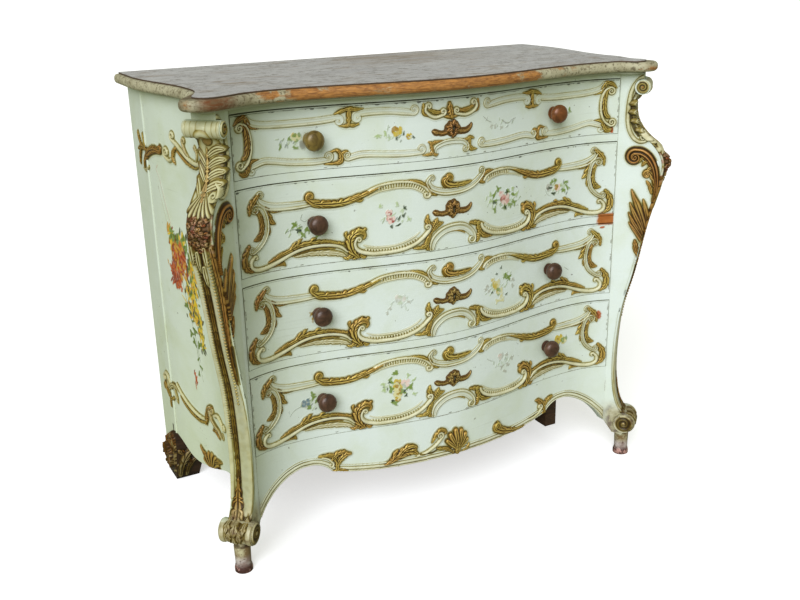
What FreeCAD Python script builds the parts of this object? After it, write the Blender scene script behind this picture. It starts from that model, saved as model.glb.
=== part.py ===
import FreeCAD, Part
import math
import os

from FreeCAD import Vector

# Chest of four drawers with a serpentine front, hollow sides and diagonal carved corner stiles.
# Construction places: x to the right, z up from the floor, y backwards from the line
# where the ends of the drawer fronts meet the stiles. Millimetres.

# Overall plan
opening_half = 470.0          # half the width between the stiles
case_back_y = 503.0           # outer face of the back boards
top_behind_case = 5.0         # rear edge of the top behind the boards

# Serpentine of the front
centre_swell = 31.5           # how far the middle stands forward
side_hollow = 21.0            # how far the hollows go back
hollow_inside = 94.0          # where each hollow is deepest, inside the stiles

# Hollow of the sides
waist_margin = 26.0           # narrowest place of the case, outside the opening
hip_margin = 66.0             # widest place, over the rear posts
waist_y = 105.0
hip_y = 400.0
side_panel_thickness = 22.0
rear_post_width = 120.0
rear_post_thickness = 32.0
side_edge_front_z = 152.0     # lower edge of the sides at the stile
side_edge_rear_z = 92.0       # and at the back
side_edge = [(130, 160), (170, 146), (215, 134), (258, 127), (300, 131), (340, 146),
             (383, 154), (430, 142), (470, 118)]
bead_radius = 5.0
bead_proud = 3.0

# Heights
drawer_count = 4
top_front_height = 124.0      # front of the uppermost drawer
other_front_height = 176.0    # fronts of the others
rail_thickness = 17.0
gap_above_front = 2.5
gap_below_front = 1.0
lowest_floor_z = 247.5        # level on which the lowest drawer runs
top_rail_thickness = 11.5
rail_back_y = 60.0

# Top
top_overhang = 46.0           # nose in front of the drawer fronts
top_side_overhang = 26.0
field_inset = 11.0            # raised field inside the nose
field_height = 3.5
nose_thickness = 21.5
nose_round = 9.0
cove_thickness = 6.0
cove_inset = 24.0
left_ear_margin = 62.0        # centre of the ears over the stiles, outside the opening
right_ear_margin = 27.0       # the photograph shows the right ear shorter
ear_y = -31.0
field_ear_inset = (16.0, 5.0)     # the field's ears lie further in than the nose's, across and back
cove_ear_inset = (8.0, 5.0)
ear_radius = 39.0
ear_start = 20.0              # the nose leaves the serpentine this far inside the opening
ear_angles = (-108, -72, -36, 0, 36)

# Front stiles and feet: reach is measured along the diagonal from the end of the drawers
console_width = 50.0
stile_tail = 15.3             # straight stretch of the stile behind the console
abacus_reach = 52.0
abacus_thickness = 14.0
volute_radius = 17.0
volute_length = 76.0
volute_reach = 50.0
volute_drop = 30.0            # below the case's top
neck_shape = [(41, 47), (34, 62), (31, 81), (37, 108), (50, 130), (64, 144), (81, 159), (98, 180)]
knee_reach = 108.0
knee_drop = 208.0
shaft_shape = [(104, 0.936), (96, 0.869), (82, 0.772), (66, 0.625), (47, 0.444), (32, 0.328),
               (23, 0.193)]   # share of the way from ankle to knee
ankle_reach = 19.0
ankle_z = 250.0
foot_shape = [(22, 200), (30, 158), (44, 128)]
foot_back_shape = [(22, 66), (0, 97), (-40, 132), (-95, 150)]
boss_radius = 27.0
boss_proud = 8.0
scroll_radius = 25.0
scroll_length = 74.0
scroll_reach = 52.0
scroll_z = 97.0
scroll_root_reach = 66.0
scroll_root_z = 80.0
peg_reach = 46.0
peg_height = 60.0
peg_radius_top = 18.0
peg_radius_waist = 17.0
peg_radius_bottom = 19.5
peg_lip_height = 8.0
peg_waist_height = 18.0
peg_tenon_radius = 9.0
peg_tenon_length = 30.0

# Rear feet
rear_foot_width = 78.0
rear_foot_depth = 92.0
rear_foot_bottom_width = 58.0
rear_foot_bottom_depth = 64.0
rear_foot_top_z = 165.0
rear_scroll_radius = 34.0
rear_scroll_proud = 9.0
rear_scroll_z = 62.0
rear_scroll_forward = 40.0    # centre of the scroll ahead of the back

# Apron and rails
apron_thickness = 24.0
apron_middle = [(0.0, 143), (0.45, 141), (0.82, 147)]   # share of the way to the cusp, height
apron_cusp_inside = 178.0     # cusp and arch, inside the stiles
apron_cusp_z = 158.0
apron_arch = [(157, 175), (124, 182), (70, 165), (29, 135), (0, 97)]
bottom_rail_thickness = 18.0
back_rail_depth = 48.0
back_rail_height = 44.0
block_inside = 136.0          # middle of the block, inside the right stile
block_width = 32.0
block_depth = 44.0
block_bottom_z = 98.0

# Back
board_thickness = 12.0
board_count = 3
boards_below_floor = 57.5
board_joint = 1.0

# Runners and stops
runner_width = 30.0           # under the drawer sides, inside the opening
guide_gap = 0.8
guide_height = 18.0
stop_width = 34.0
stop_depth = 18.0
stop_height = 7.0
stop_inside = 210.0           # middle of each stop, inside the stiles
stop_gap = 0.3
running_gap = 0.3
kicker_width = 34.0

# Drawers
side_gap = 1.5
front_back_y = 42.0           # flat inner face of the drawer fronts
drawer_side_thickness = 12.0
drawer_back_thickness = 12.0
drawer_bottom_thickness = 8.0
bottom_rise = 10.0            # bottom board above the lower edge of the sides
groove_depth = 5.0
side_below_top = 14.0         # drawer sides end this far below the top of the front
back_below_side = 8.0
drawer_rear_gap = 13.0
tail_length = 16.0
tail_margin = 4.0
tail_slope = 3.5
tail_count = 3
tail_share = 0.6              # share of each pitch that a tail takes at its root

# Knobs
left_knob_inside = 167.0      # the knobs are not set quite evenly
right_knob_inside = 181.0
missing_knobs = [(2, "right")]
knob_radius = 20.5
knob_neck_radius = 8.5
knob_base_radius = 14.0
knob_reach = 38.0
knob_base_thickness = 6.0
knob_base_round = 2.0
knob_neck_length = 8.0
knob_head_shape = [(0.82, 0.08), (1.0, 0.35), (0.94, 0.67), (0.55, 0.92),
                   (0.0, 1.0)]   # shares of the radius and of the head's length
knob_seat_depth = 5.0
knob_tenon_radius = 6.0
knob_tenon_length = 13.0
knob_fit = 0.1

# Escutcheons and locks
plate_radius = 15.0
plate_leaf_length = 40.0
plate_leaf_height = 9.0
plate_proud = 3.0
keyhole_radius = 3.5
keyhole_slot_width = 3.4
keyhole_slot_length = 9.0
lock_width = 56.0
lock_below_key = 22.0
lock_depth = 11.0
lock_rear_wall = 2.5
bolt_width = 22.0
bolt_thickness = 6.0
bolt_length = 30.0
bolt_throw = 9.0
bolt_gap = 0.3
mortise_gap = 1.0
mortise_spare = 1.5

# Top screws
screw_radius = 2.5
screw_head_radius = 5.0
screw_head_height = 3.0
screw_length = 26.0
screw_inside = 140.0          # outer screws, inside the stiles
screw_from_rail_back = 10.0

curve_steps = 28
side_steps = 12
top_front_steps = 12
top_side_steps = 10
level_tolerance = 0.1

# Derived places
root_two = math.sqrt(2.0)
along = Vector(1.0 / root_two, -1.0 / root_two, 0)
across = Vector(1.0 / root_two, 1.0 / root_two, 0)
cheek = Vector(opening_half, 0, 0)
hollow_x = opening_half - hollow_inside
block_x = opening_half - block_inside
stop_x = opening_half - stop_inside
screw_x = opening_half - screw_inside
knob_places = {"left": left_knob_inside - opening_half, "right": opening_half - right_knob_inside}
waist_half = opening_half + waist_margin
hip_half = opening_half + hip_margin
console_side_y = opening_half + console_width * root_two - waist_half
side_front_y = console_side_y + stile_tail
runner_front_y = max(rail_back_y, side_front_y)
top_back_y = case_back_y + top_behind_case
rear_post_front_y = case_back_y - rear_post_width
back_board_y = case_back_y - board_thickness
rear_inner_x = hip_half - rear_post_thickness
front_reach_y = -centre_swell - top_overhang
depth_origin = -(front_reach_y + top_back_y) / 2.0
front_spacing = gap_below_front + rail_thickness + gap_above_front
fronts_height = top_front_height + (drawer_count - 1) * (other_front_height + front_spacing)
top_rail_z = lowest_floor_z + gap_below_front + fronts_height + gap_above_front
case_top_z = top_rail_z + top_rail_thickness
nose_bottom_z = case_top_z + cove_thickness
nose_top_z = nose_bottom_z + nose_thickness
knee_z = case_top_z - knee_drop
board_bottom_z = lowest_floor_z - boards_below_floor
drawer_half = opening_half - side_gap
drawer_inner = drawer_half - drawer_side_thickness
drawer_back_y = back_board_y - drawer_rear_gap
bolt_y = front_back_y - lock_depth / 2.0
slab = 3000.0                 # longer than the whole chest, for profiles that cut through


def front_y(x):
    """Depth of the serpentine front at a distance x from the middle."""
    a = abs(x)
    if a <= hollow_x:
        mean = (side_hollow - centre_swell) / 2.0
        swing = (side_hollow + centre_swell) / 2.0
        return mean - swing * math.cos(math.pi * a / hollow_x)
    return side_hollow * (1.0 - ((a - hollow_x) / (opening_half - hollow_x)) ** 2)


def side_x(y):
    """Half width of the case over the side panels at depth y."""
    if y >= hip_y:
        return hip_half
    swing = 1.0 - math.cos(math.pi * (y - waist_y) / (hip_y - waist_y))
    return waist_half + (hip_half - waist_half) * swing / 2.0


def spline(points):
    curve = Part.BSplineCurve()
    curve.interpolate([Vector(*p) for p in points])
    return curve.toShape()


def lines(points):
    vectors = [Vector(*p) for p in points]
    return [Part.makeLine(a, b) for a, b in zip(vectors[:-1], vectors[1:])]


def plate(edges, height):
    """Solid above a closed flat outline."""
    face = Part.Face(Part.Wire(Part.__sortEdges__(edges)))
    return face.extrude(height)


def box(x0, x1, y0, y1, z0, z1):
    return Part.makeBox(x1 - x0, y1 - y0, z1 - z0, Vector(x0, y0, z0))


def mirrored(shape):
    return shape.mirror(Vector(0, 0, 0), Vector(1, 0, 0))


def serpentine(half, offset, z):
    xs = [half * (2.0 * i / curve_steps - 1.0) for i in range(curve_steps + 1)]
    return spline([(x, front_y(x) + offset, z) for x in xs])


def behind_front(half, back_y, z0, z1, offset=0.0):
    """Board from the serpentine face to a straight back edge."""
    front = serpentine(half, offset, z0)
    y_end = front_y(half) + offset
    rest = lines([(half, y_end, z0), (half, back_y, z0), (-half, back_y, z0), (-half, y_end, z0)])
    return plate([front] + rest, Vector(0, 0, z1 - z0))


def drawer_levels():
    """Bottom and top of each drawer front, from the uppermost down."""
    levels = []
    z = lowest_floor_z + gap_below_front
    for number in range(drawer_count, 0, -1):
        height = top_front_height if number == 1 else other_front_height
        levels.append((number, z, z + height))
        z += height + front_spacing
    return sorted(levels)


def half_outline(inset, z, ear_margin, ear_inset):
    """Right half of the edge of the top at an inset from its nose: front, ear and hollow side."""
    reach = top_overhang - inset
    overhang = top_side_overhang - inset
    radius = ear_radius - inset
    half_front = [(opening_half - ear_start) * i / top_front_steps for i in range(top_front_steps + 1)]
    points = [(x, front_y(x) - reach, z) for x in half_front]
    centre_x = opening_half + ear_margin - ear_inset[0]
    centre_y = ear_y + ear_inset[1]
    for degrees in ear_angles:
        angle = math.radians(degrees)
        points.append((centre_x + radius * math.cos(angle), centre_y + radius * math.sin(angle), z))
    side_length = top_back_y - side_front_y
    side_ys = [side_front_y + side_length * i / top_side_steps for i in range(top_side_steps + 1)]
    points += [(side_x(y) + overhang, y, z) for y in side_ys]
    return points


def top_outline(inset, z, ear_inset=(0.0, 0.0)):
    """The whole edge of the top, closed by its straight back; each ear has its own margin."""
    right = half_outline(inset, z, right_ear_margin, ear_inset)
    left = half_outline(inset, z, left_ear_margin, ear_inset)
    left = [(-x, y, z) for x, y, z in reversed(left[1:])]
    x_end, y_end = right[-1][0], right[-1][1]
    return [spline(left + right), Part.makeLine(Vector(x_end, y_end, z), Vector(-x_end, y_end, z))]


def make_top(screws):
    nose = plate(top_outline(0.0, nose_bottom_z), Vector(0, 0, nose_thickness))
    level = [e for e in nose.Edges if e.BoundBox.ZLength < level_tolerance]
    edges = [e for e in level if e.BoundBox.YLength > nose_thickness]
    nose = nose.makeFillet(nose_round, edges)
    field = plate(top_outline(field_inset, nose_top_z, field_ear_inset), Vector(0, 0, field_height))
    cove = plate(top_outline(cove_inset, case_top_z, cove_ear_inset), Vector(0, 0, cove_thickness))
    return nose.fuse(field).fuse(cove).cut(screws).removeSplitter()


def side_edge_profile():
    """Everything above the scalloped lower edge of the sides, as a thick slab across x."""
    points = [(0, side_front_y, side_edge_front_z)]
    points += [(0, y, z) for y, z in side_edge]
    points.append((0, top_back_y, side_edge_rear_z))
    rest = lines([points[-1], (0, top_back_y, case_top_z), (0, side_front_y, case_top_z), points[0]])
    return plate([spline(points)] + rest, Vector(slab, 0, 0))


def side_curve(inset, y0, y1):
    ys = [y0 + (y1 - y0) * i / side_steps for i in range(side_steps + 1)]
    return [(side_x(y) - inset, y, 0) for y in ys]


def right_side_panel():
    outer = side_curve(0.0, side_front_y, rear_post_front_y)
    inner = side_curve(side_panel_thickness, side_front_y, rear_post_front_y)
    ends = lines([outer[0], inner[0]]) + lines([outer[-1], inner[-1]])
    panel = plate([spline(outer), spline(inner)] + ends, Vector(0, 0, case_top_z))
    return panel.common(side_edge_profile())


def right_rear_post():
    outer = side_curve(0.0, rear_post_front_y, case_back_y)
    rest = lines([outer[-1], (rear_inner_x, case_back_y, 0), (rear_inner_x, rear_post_front_y, 0),
                  outer[0]])
    post = plate([spline(outer)] + rest, Vector(0, 0, case_top_z))
    bead_x = side_x(rear_post_front_y + bead_radius) + bead_proud - bead_radius
    bead_place = Vector(bead_x, rear_post_front_y + bead_radius, 0)
    bead = Part.makeCylinder(bead_radius, case_top_z, bead_place)
    return post.fuse(bead).removeSplitter().common(side_edge_profile())


def inside_of_case(z0, z1):
    """Space between the side panels and rear posts."""
    curve = side_curve(side_panel_thickness, side_front_y, rear_post_front_y)
    right = [(x, y, z0) for x, y, z in curve]
    left = [(-x, y, z0) for x, y, z in curve]
    closing = lines([left[0], right[0]])
    for side, sign in ((right, 1.0), (left, -1.0)):
        closing += lines([side[-1], (sign * rear_inner_x, rear_post_front_y, z0),
                          (sign * rear_inner_x, back_board_y, z0)])
    closing += lines([(rear_inner_x, back_board_y, z0), (-rear_inner_x, back_board_y, z0)])
    return plate([spline(right), spline(left)] + closing, Vector(0, 0, z1 - z0))


def cheek_point(reach, z, width=0.0):
    """Point on the stile: reach along its diagonal from the drawer's end, at a height."""
    return cheek + along * reach + across * width + Vector(0, 0, z)


def console_edge():
    """Profile of the console from under its volute down to the foot scroll."""
    shape = [(reach, case_top_z - drop) for reach, drop in neck_shape]
    shape.append((knee_reach, knee_z))
    shape += [(reach, ankle_z + share * (knee_z - ankle_z)) for reach, share in shaft_shape]
    shape.append((ankle_reach, ankle_z))
    return shape + foot_shape


def right_front_stile():
    """Corner post and carved console as one piece, cut from a plan and a diagonal profile."""
    shape = console_edge()
    rear_reach, rear_z = foot_back_shape[-1]
    outline = [shape[0], (shape[0][0], case_top_z - abacus_thickness),
               (abacus_reach, case_top_z - abacus_thickness), (abacus_reach, case_top_z),
               (rear_reach, case_top_z), (rear_reach, rear_z)]
    outline += list(reversed(foot_back_shape[:-1]))
    outline += [(peg_reach, peg_height), (scroll_root_reach, scroll_root_z), shape[-1]]
    edges = lines([tuple(cheek_point(r, z)) for r, z in outline])
    edges.append(spline([tuple(cheek_point(r, z)) for r, z in shape]))
    profile = plate(edges, across * slab)
    corner = cheek_point(knee_reach + boss_radius, 0)
    plan = [(opening_half, 0, 0), tuple(corner), tuple(corner + across * console_width),
            (waist_half, console_side_y, 0), (side_x(side_front_y), side_front_y, 0),
            (opening_half, side_front_y, 0), (opening_half, 0, 0)]
    post = plate(lines(plan), Vector(0, 0, case_top_z)).common(profile)
    volute = roll(volute_radius, volute_length, volute_reach, case_top_z - volute_drop)
    foot = roll(scroll_radius, scroll_length, scroll_reach, scroll_z)
    boss_place = cheek_point(knee_reach + boss_proud - boss_radius, knee_z, console_width / 2.0)
    boss = Part.makeSphere(boss_radius, boss_place)
    stile = post.fuse([volute, foot, boss]).removeSplitter()
    return stile.cut(foot_peg())


def roll(radius, length, reach, z):
    """Scroll that lies across the console, with round discs at its ends."""
    start = cheek_point(reach, z, (console_width - length) / 2.0)
    return Part.makeCylinder(radius, length, start, across)


def foot_peg():
    """Turned peg under the foot scroll, with its tenon."""
    tenon_top = peg_height + peg_tenon_length
    profile = [(0, 0), (peg_radius_bottom, 0), (peg_radius_bottom, peg_lip_height),
               (peg_radius_waist, peg_waist_height), (peg_radius_top, peg_height),
               (peg_tenon_radius, peg_height), (peg_tenon_radius, tenon_top), (0, tenon_top), (0, 0)]
    face = Part.Face(Part.makePolygon([Vector(r, 0, z) for r, z in profile]))
    peg = face.revolve(Vector(0, 0, 0), Vector(0, 0, 1), 360)
    peg.translate(cheek_point(peg_reach, 0, console_width / 2.0))
    return peg


def right_rear_foot(post):
    """Carved block under the rear post, with a scroll on its outer side."""
    x_out = hip_half
    y_back = case_back_y

    def layer(z, width, depth):
        return Part.makePolygon([Vector(x_out, y_back, z), Vector(x_out, y_back - depth, z),
                                 Vector(x_out - width, y_back - depth, z),
                                 Vector(x_out - width, y_back, z), Vector(x_out, y_back, z)])
    block = Part.makeLoft([layer(0.0, rear_foot_bottom_width, rear_foot_bottom_depth),
                           layer(rear_scroll_z + rear_scroll_radius, rear_foot_width, rear_foot_depth),
                           layer(rear_foot_top_z, rear_foot_width, rear_foot_depth)], True, True)
    scroll_place = Vector(x_out - rear_foot_bottom_width / 2.0, y_back - rear_scroll_forward,
                          rear_scroll_z)
    scroll = Part.makeCylinder(rear_scroll_radius, rear_foot_bottom_width / 2.0 + rear_scroll_proud,
                               scroll_place, Vector(1, 0, 0))
    foot = block.fuse(scroll).removeSplitter()
    side_limit = box(0, x_out + rear_scroll_proud, 0, y_back, 0, rear_foot_top_z)
    return foot.common(side_limit).cut(post)


def apron_profile():
    """Everything above the scalloped lower edge of the apron, as a slab across y."""
    y0 = -slab / 2.0
    cusp_x = opening_half - apron_cusp_inside
    right_half = [(share * cusp_x, y0, z) for share, z in apron_middle]
    right_half.append((cusp_x, y0, apron_cusp_z))
    left_half = [(-x, y0, z) for x, y0, z in reversed(right_half[1:])]
    arch = [(cusp_x, y0, apron_cusp_z)]
    arch += [(opening_half - inside, y0, z) for inside, z in apron_arch]
    end_z = arch[-1][2]
    edges = [spline(left_half + right_half), spline(arch), spline([(-x, y0, z) for x, y0, z in arch])]
    edges += lines([(opening_half, y0, end_z), (opening_half, y0, lowest_floor_z),
                    (-opening_half, y0, lowest_floor_z), (-opening_half, y0, end_z)])
    return plate(edges, Vector(0, slab, 0))


def front_apron():
    front = serpentine(opening_half, 0.0, 0.0)
    back = serpentine(opening_half, apron_thickness, 0.0)
    ends = []
    for side in (-1.0, 1.0):
        ends += lines([(side * opening_half, 0, 0), (side * opening_half, apron_thickness, 0)])
    board = plate([front, back] + ends, Vector(0, 0, lowest_floor_z))
    return board.common(apron_profile())


def bottom_front_rail():
    return behind_front(opening_half, rail_back_y, lowest_floor_z - bottom_rail_thickness,
                        lowest_floor_z, apron_thickness)


def apron_block():
    x0 = block_x - block_width / 2.0
    x1 = block_x + block_width / 2.0
    y0 = max(front_y(x0), front_y(x1)) + apron_thickness
    return box(x0, x1, y0, y0 + block_depth, block_bottom_z, lowest_floor_z - bottom_rail_thickness)


def mortise(top_of_front):
    """Pocket in the rail above a drawer front, for the bolt."""
    half = bolt_width / 2.0 + mortise_gap
    half_y = bolt_thickness / 2.0 + mortise_gap
    z_end = top_of_front + bolt_throw + mortise_spare
    return box(-half, half, bolt_y - half_y, bolt_y + half_y, top_of_front, z_end)


def front_rail(top_of_front, z0, z1):
    rail = behind_front(opening_half, rail_back_y, z0, z1)
    return rail.cut(mortise(top_of_front))


def back_rails():
    upper = box(-rear_inner_x, rear_inner_x, back_board_y - back_rail_depth, back_board_y,
                top_rail_z, case_top_z)
    lower = box(-rear_inner_x, rear_inner_x, back_board_y - rail_thickness, back_board_y,
                lowest_floor_z - rail_thickness - back_rail_height, lowest_floor_z - rail_thickness)
    return upper, lower


def back_boards():
    pitch = (case_top_z - board_bottom_z + board_joint) / board_count
    boards = []
    for i in range(board_count):
        z0 = board_bottom_z + i * pitch
        boards.append(box(-rear_inner_x, rear_inner_x, back_board_y, case_back_y,
                          z0, z0 + pitch - board_joint))
    return Part.makeCompound(boards)


def runners():
    """A rebated runner on each side of each drawer, and kickers over the uppermost one."""
    pieces = []
    inner_x = opening_half - runner_width
    for _, bottom, _ in drawer_levels():
        floor = bottom - gap_below_front
        bearing = box(inner_x, hip_half, runner_front_y, back_board_y, floor - rail_thickness, floor)
        guide = box(drawer_half + guide_gap, hip_half, runner_front_y, back_board_y,
                    floor, floor + guide_height)
        space = inside_of_case(floor - rail_thickness, floor + guide_height)
        right = bearing.fuse(guide).removeSplitter().common(space)
        pieces += [right, mirrored(right)]
    kicker = box(inner_x - kicker_width, inner_x, rail_back_y, back_board_y - back_rail_depth,
                 top_rail_z, case_top_z)
    pieces += [kicker, mirrored(kicker)]
    return Part.makeCompound(pieces)


def stops():
    """Small blocks on the rails that the drawer fronts come to rest against."""
    pieces = []
    for _, bottom, _ in drawer_levels():
        floor = bottom - gap_below_front
        y0 = front_back_y + stop_gap
        right = box(stop_x - stop_width / 2.0, stop_x + stop_width / 2.0, y0, y0 + stop_depth,
                    floor, floor + stop_height)
        pieces += [right, mirrored(right)]
    return Part.makeCompound(pieces)


def screw(x, y, z):
    """Countersunk screw that points up, with its head flush at the underside of a rail."""
    head = Part.makeCone(screw_head_radius, screw_radius, screw_head_height, Vector(x, y, z))
    shank = Part.makeCylinder(screw_radius, screw_length, Vector(x, y, z))
    return head.fuse(shank).removeSplitter()


def top_screws():
    rear = [screw(x, back_board_y - back_rail_depth / 2.0, top_rail_z) for x in (-screw_x, 0.0, screw_x)]
    front = [screw(x, rail_back_y - screw_from_rail_back, top_rail_z) for x in (-screw_x, screw_x)]
    return Part.makeCompound(rear + front)


def bolt_shape(top_of_front):
    return box(-bolt_width / 2.0, bolt_width / 2.0, bolt_y - bolt_thickness / 2.0,
               bolt_y + bolt_thickness / 2.0, top_of_front - bolt_length, top_of_front)


def lock_block(key_z, top_of_front):
    return box(-lock_width / 2.0, lock_width / 2.0, front_back_y - lock_depth, front_back_y,
               key_z - lock_below_key, top_of_front)


def lock_case(key_z, top_of_front):
    """Iron case flush with the back and the upper edge of the front, with a slot for the bolt."""
    half = bolt_width / 2.0 + bolt_gap
    half_y = bolt_thickness / 2.0 + bolt_gap
    slot = box(-half, half, bolt_y - half_y, bolt_y + half_y,
               top_of_front - bolt_length, top_of_front)
    key = keyhole(key_z, front_back_y - lock_depth, front_back_y - lock_rear_wall)
    return lock_block(key_z, top_of_front).cut([slot, key])


def keyhole(z, y0, y1):
    barrel = Part.makeCylinder(keyhole_radius, y1 - y0, Vector(0, y0, z), Vector(0, 1, 0))
    slot = box(-keyhole_slot_width / 2.0, keyhole_slot_width / 2.0, y0, y1,
               z - keyhole_slot_length, z)
    return barrel.fuse(slot)


def escutcheon(front, z):
    """Small cast rosette with a leaf at each side, seated on the curved front."""
    y_face = front_y(0) - plate_proud
    depth = Vector(0, front_y(plate_leaf_length) - y_face, 0)
    disc = Part.Face(Part.Wire(Part.makeCircle(plate_radius, Vector(0, y_face, z), Vector(0, 1, 0))))
    leaf = Part.Face(Part.Wire(Part.Ellipse(Vector(0, 0, 0), plate_leaf_length,
                                            plate_leaf_height).toShape()))
    leaf.rotate(Vector(0, 0, 0), Vector(1, 0, 0), 90)
    leaf.translate(Vector(0, y_face, z))
    plate_solid = disc.extrude(depth).fuse(leaf.extrude(depth)).removeSplitter()
    plate_solid = plate_solid.cut(keyhole(z, front_reach_y, front_back_y))
    return plate_solid.cut(front)


def knob_hole(x, z):
    start = Vector(x, front_y(x) - knob_base_thickness, z)
    length = knob_tenon_length + knob_base_thickness
    return Part.makeCylinder(knob_tenon_radius + knob_fit, length, start, Vector(0, 1, 0))


def knob(front, x, z):
    """Turned knob: tenon, base, neck and rounded head."""
    neck_end = knob_base_thickness + knob_neck_length
    head = knob_reach - neck_end
    turned_head = [(knob_radius * r, 0, neck_end + head * h) for r, h in knob_head_shape]
    edges = lines([(0, 0, -knob_tenon_length), (knob_tenon_radius, 0, -knob_tenon_length),
                   (knob_tenon_radius, 0, -knob_seat_depth), (knob_base_radius, 0, -knob_seat_depth),
                   (knob_base_radius, 0, knob_base_thickness - knob_base_round),
                   (knob_neck_radius, 0, knob_base_thickness), (knob_neck_radius, 0, neck_end),
                   turned_head[0]])
    edges.append(spline(turned_head))
    edges += lines([(0, 0, knob_reach), (0, 0, -knob_tenon_length)])
    face = Part.Face(Part.Wire(Part.__sortEdges__(edges)))
    turned = face.revolve(Vector(0, 0, 0), Vector(0, 0, 1), 360)
    turned.rotate(Vector(0, 0, 0), Vector(1, 0, 0), 90)
    turned.translate(Vector(x, front_y(x), z))
    return turned.cut(front)


def tails(x0, x1, z0, z1):
    """Dovetail tails on the front end of a drawer side."""
    pitch = (z1 - z0) / tail_count
    root = pitch * tail_share / 2.0
    pieces = []
    for i in range(tail_count):
        middle = z0 + pitch * (i + 0.5)
        shape = [(x0, front_back_y, middle - root), (x0, front_back_y, middle + root),
                 (x0, front_back_y - tail_length, middle + root + tail_slope),
                 (x0, front_back_y - tail_length, middle - root - tail_slope),
                 (x0, front_back_y, middle - root)]
        pieces.append(plate(lines(shape), Vector(x1 - x0, 0, 0)))
    return pieces


def make_drawer(number, bottom, top):
    """The pieces of one drawer, by name."""
    side_bottom = bottom - gap_below_front + running_gap
    side_top = top - side_below_top
    board_z = side_bottom + bottom_rise
    board_top = board_z + drawer_bottom_thickness
    key_z = (bottom + top) / 2.0

    board = box(-drawer_inner - groove_depth, drawer_inner + groove_depth,
                front_back_y - groove_depth, drawer_back_y, board_z, board_top)
    right = box(drawer_inner, drawer_half, front_back_y, drawer_back_y, side_bottom, side_top)
    right = right.fuse(tails(drawer_inner, drawer_half, side_bottom + tail_margin,
                             side_top - tail_margin))
    right = right.removeSplitter().cut(board)
    left = mirrored(right)
    back = box(-drawer_inner, drawer_inner, drawer_back_y - drawer_back_thickness, drawer_back_y,
               board_top, side_top - back_below_side)

    knob_xs = [x for side, x in knob_places.items() if (number, side) not in missing_knobs]
    front = behind_front(drawer_half, front_back_y, bottom, top)
    front = front.cut([board, right, left, lock_block(key_z, top)])
    front = front.cut([knob_hole(x, key_z) for x in knob_xs])
    front = front.cut(keyhole(key_z, front_reach_y, front_back_y))
    name = "drawer_%d_" % number
    return {
        name + "front": front,
        name + "left_side": left,
        name + "right_side": right,
        name + "back": back,
        name + "bottom": board,
        name + "knobs": Part.makeCompound([knob(front, x, key_z) for x in knob_xs]),
        name + "escutcheon": escutcheon(front, key_z),
        name + "lock": lock_case(key_z, top),
        name + "bolt": bolt_shape(top),
    }


def build():
    levels = drawer_levels()
    screws = top_screws()
    stile = right_front_stile()
    post = right_rear_post()
    panel = right_side_panel()
    peg = foot_peg()
    rear_foot = right_rear_foot(post)
    upper_back, lower_back = back_rails()
    parts = {
        "top": make_top(screws),
        "left_side_panel": mirrored(panel),
        "right_side_panel": panel,
        "left_front_stile": mirrored(stile),
        "right_front_stile": stile,
        "left_rear_post": mirrored(post),
        "right_rear_post": post,
        "left_front_foot": mirrored(peg),
        "right_front_foot": peg,
        "left_rear_foot": mirrored(rear_foot),
        "right_rear_foot": rear_foot,
        "top_front_rail": front_rail(levels[0][2], top_rail_z, case_top_z).cut(screws),
        "top_back_rail": upper_back.cut(screws),
        "bottom_back_rail": lower_back,
        "bottom_front_rail": bottom_front_rail(),
        "front_apron": front_apron(),
        "apron_block": apron_block(),
        "back_boards": back_boards(),
        "drawer_runners": runners(),
        "drawer_stops": stops(),
        "top_screws": screws,
    }
    for upper, lower in zip(levels[:-1], levels[1:]):
        z1 = upper[1] - gap_below_front
        rail = front_rail(lower[2], z1 - rail_thickness, z1)
        parts["drawer_rail_%d" % upper[0]] = rail
    for number, bottom, top in levels:
        parts.update(make_drawer(number, bottom, top))
    return parts


os.makedirs("parts", exist_ok=True)
for node, shape in build().items():
    placed = shape.copy()
    placed.translate(Vector(0, depth_origin, 0))
    placed.exportStep("parts/%s.step" % node)
    print(node, len(placed.Solids), placed.isValid(), round(placed.Volume / 1000.0, 1))
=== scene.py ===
import copy
import math

import bpy
import numpy as np
from mathutils import Matrix, Vector
from mathutils.bvhtree import BVHTree

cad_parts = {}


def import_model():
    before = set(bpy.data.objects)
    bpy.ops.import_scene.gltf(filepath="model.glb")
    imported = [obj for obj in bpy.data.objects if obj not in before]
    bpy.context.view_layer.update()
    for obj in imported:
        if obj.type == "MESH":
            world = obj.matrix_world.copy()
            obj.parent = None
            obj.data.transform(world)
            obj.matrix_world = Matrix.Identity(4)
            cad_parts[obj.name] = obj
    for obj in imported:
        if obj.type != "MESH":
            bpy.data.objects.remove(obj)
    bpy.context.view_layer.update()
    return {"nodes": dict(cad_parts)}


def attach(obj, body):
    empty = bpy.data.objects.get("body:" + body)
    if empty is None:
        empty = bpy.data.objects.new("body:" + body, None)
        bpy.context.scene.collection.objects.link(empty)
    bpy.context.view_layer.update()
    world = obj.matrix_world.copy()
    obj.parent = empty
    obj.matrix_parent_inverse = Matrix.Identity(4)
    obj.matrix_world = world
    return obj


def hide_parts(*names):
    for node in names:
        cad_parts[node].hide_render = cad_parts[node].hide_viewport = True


# Painted serpentine chest of drawers: carved and gilt relief, painted flowers, worn paint.
# Patches of relief are drawn in millimetres on a grid that lies on the surface of a CAD node:
# u runs along the surface and v upwards, and each patch has a height and masks for its paint.

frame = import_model()
nodes = frame["nodes"]

# Camera, fitted to the photograph
camera_place = (-1.0481, -1.9674, 1.2258)
camera_yaw = 27.98
camera_down = 19.22
camera_roll = -1.31
focal_pixels = 968.0
image_width = 800.0
sensor_width = 36.0

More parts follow.
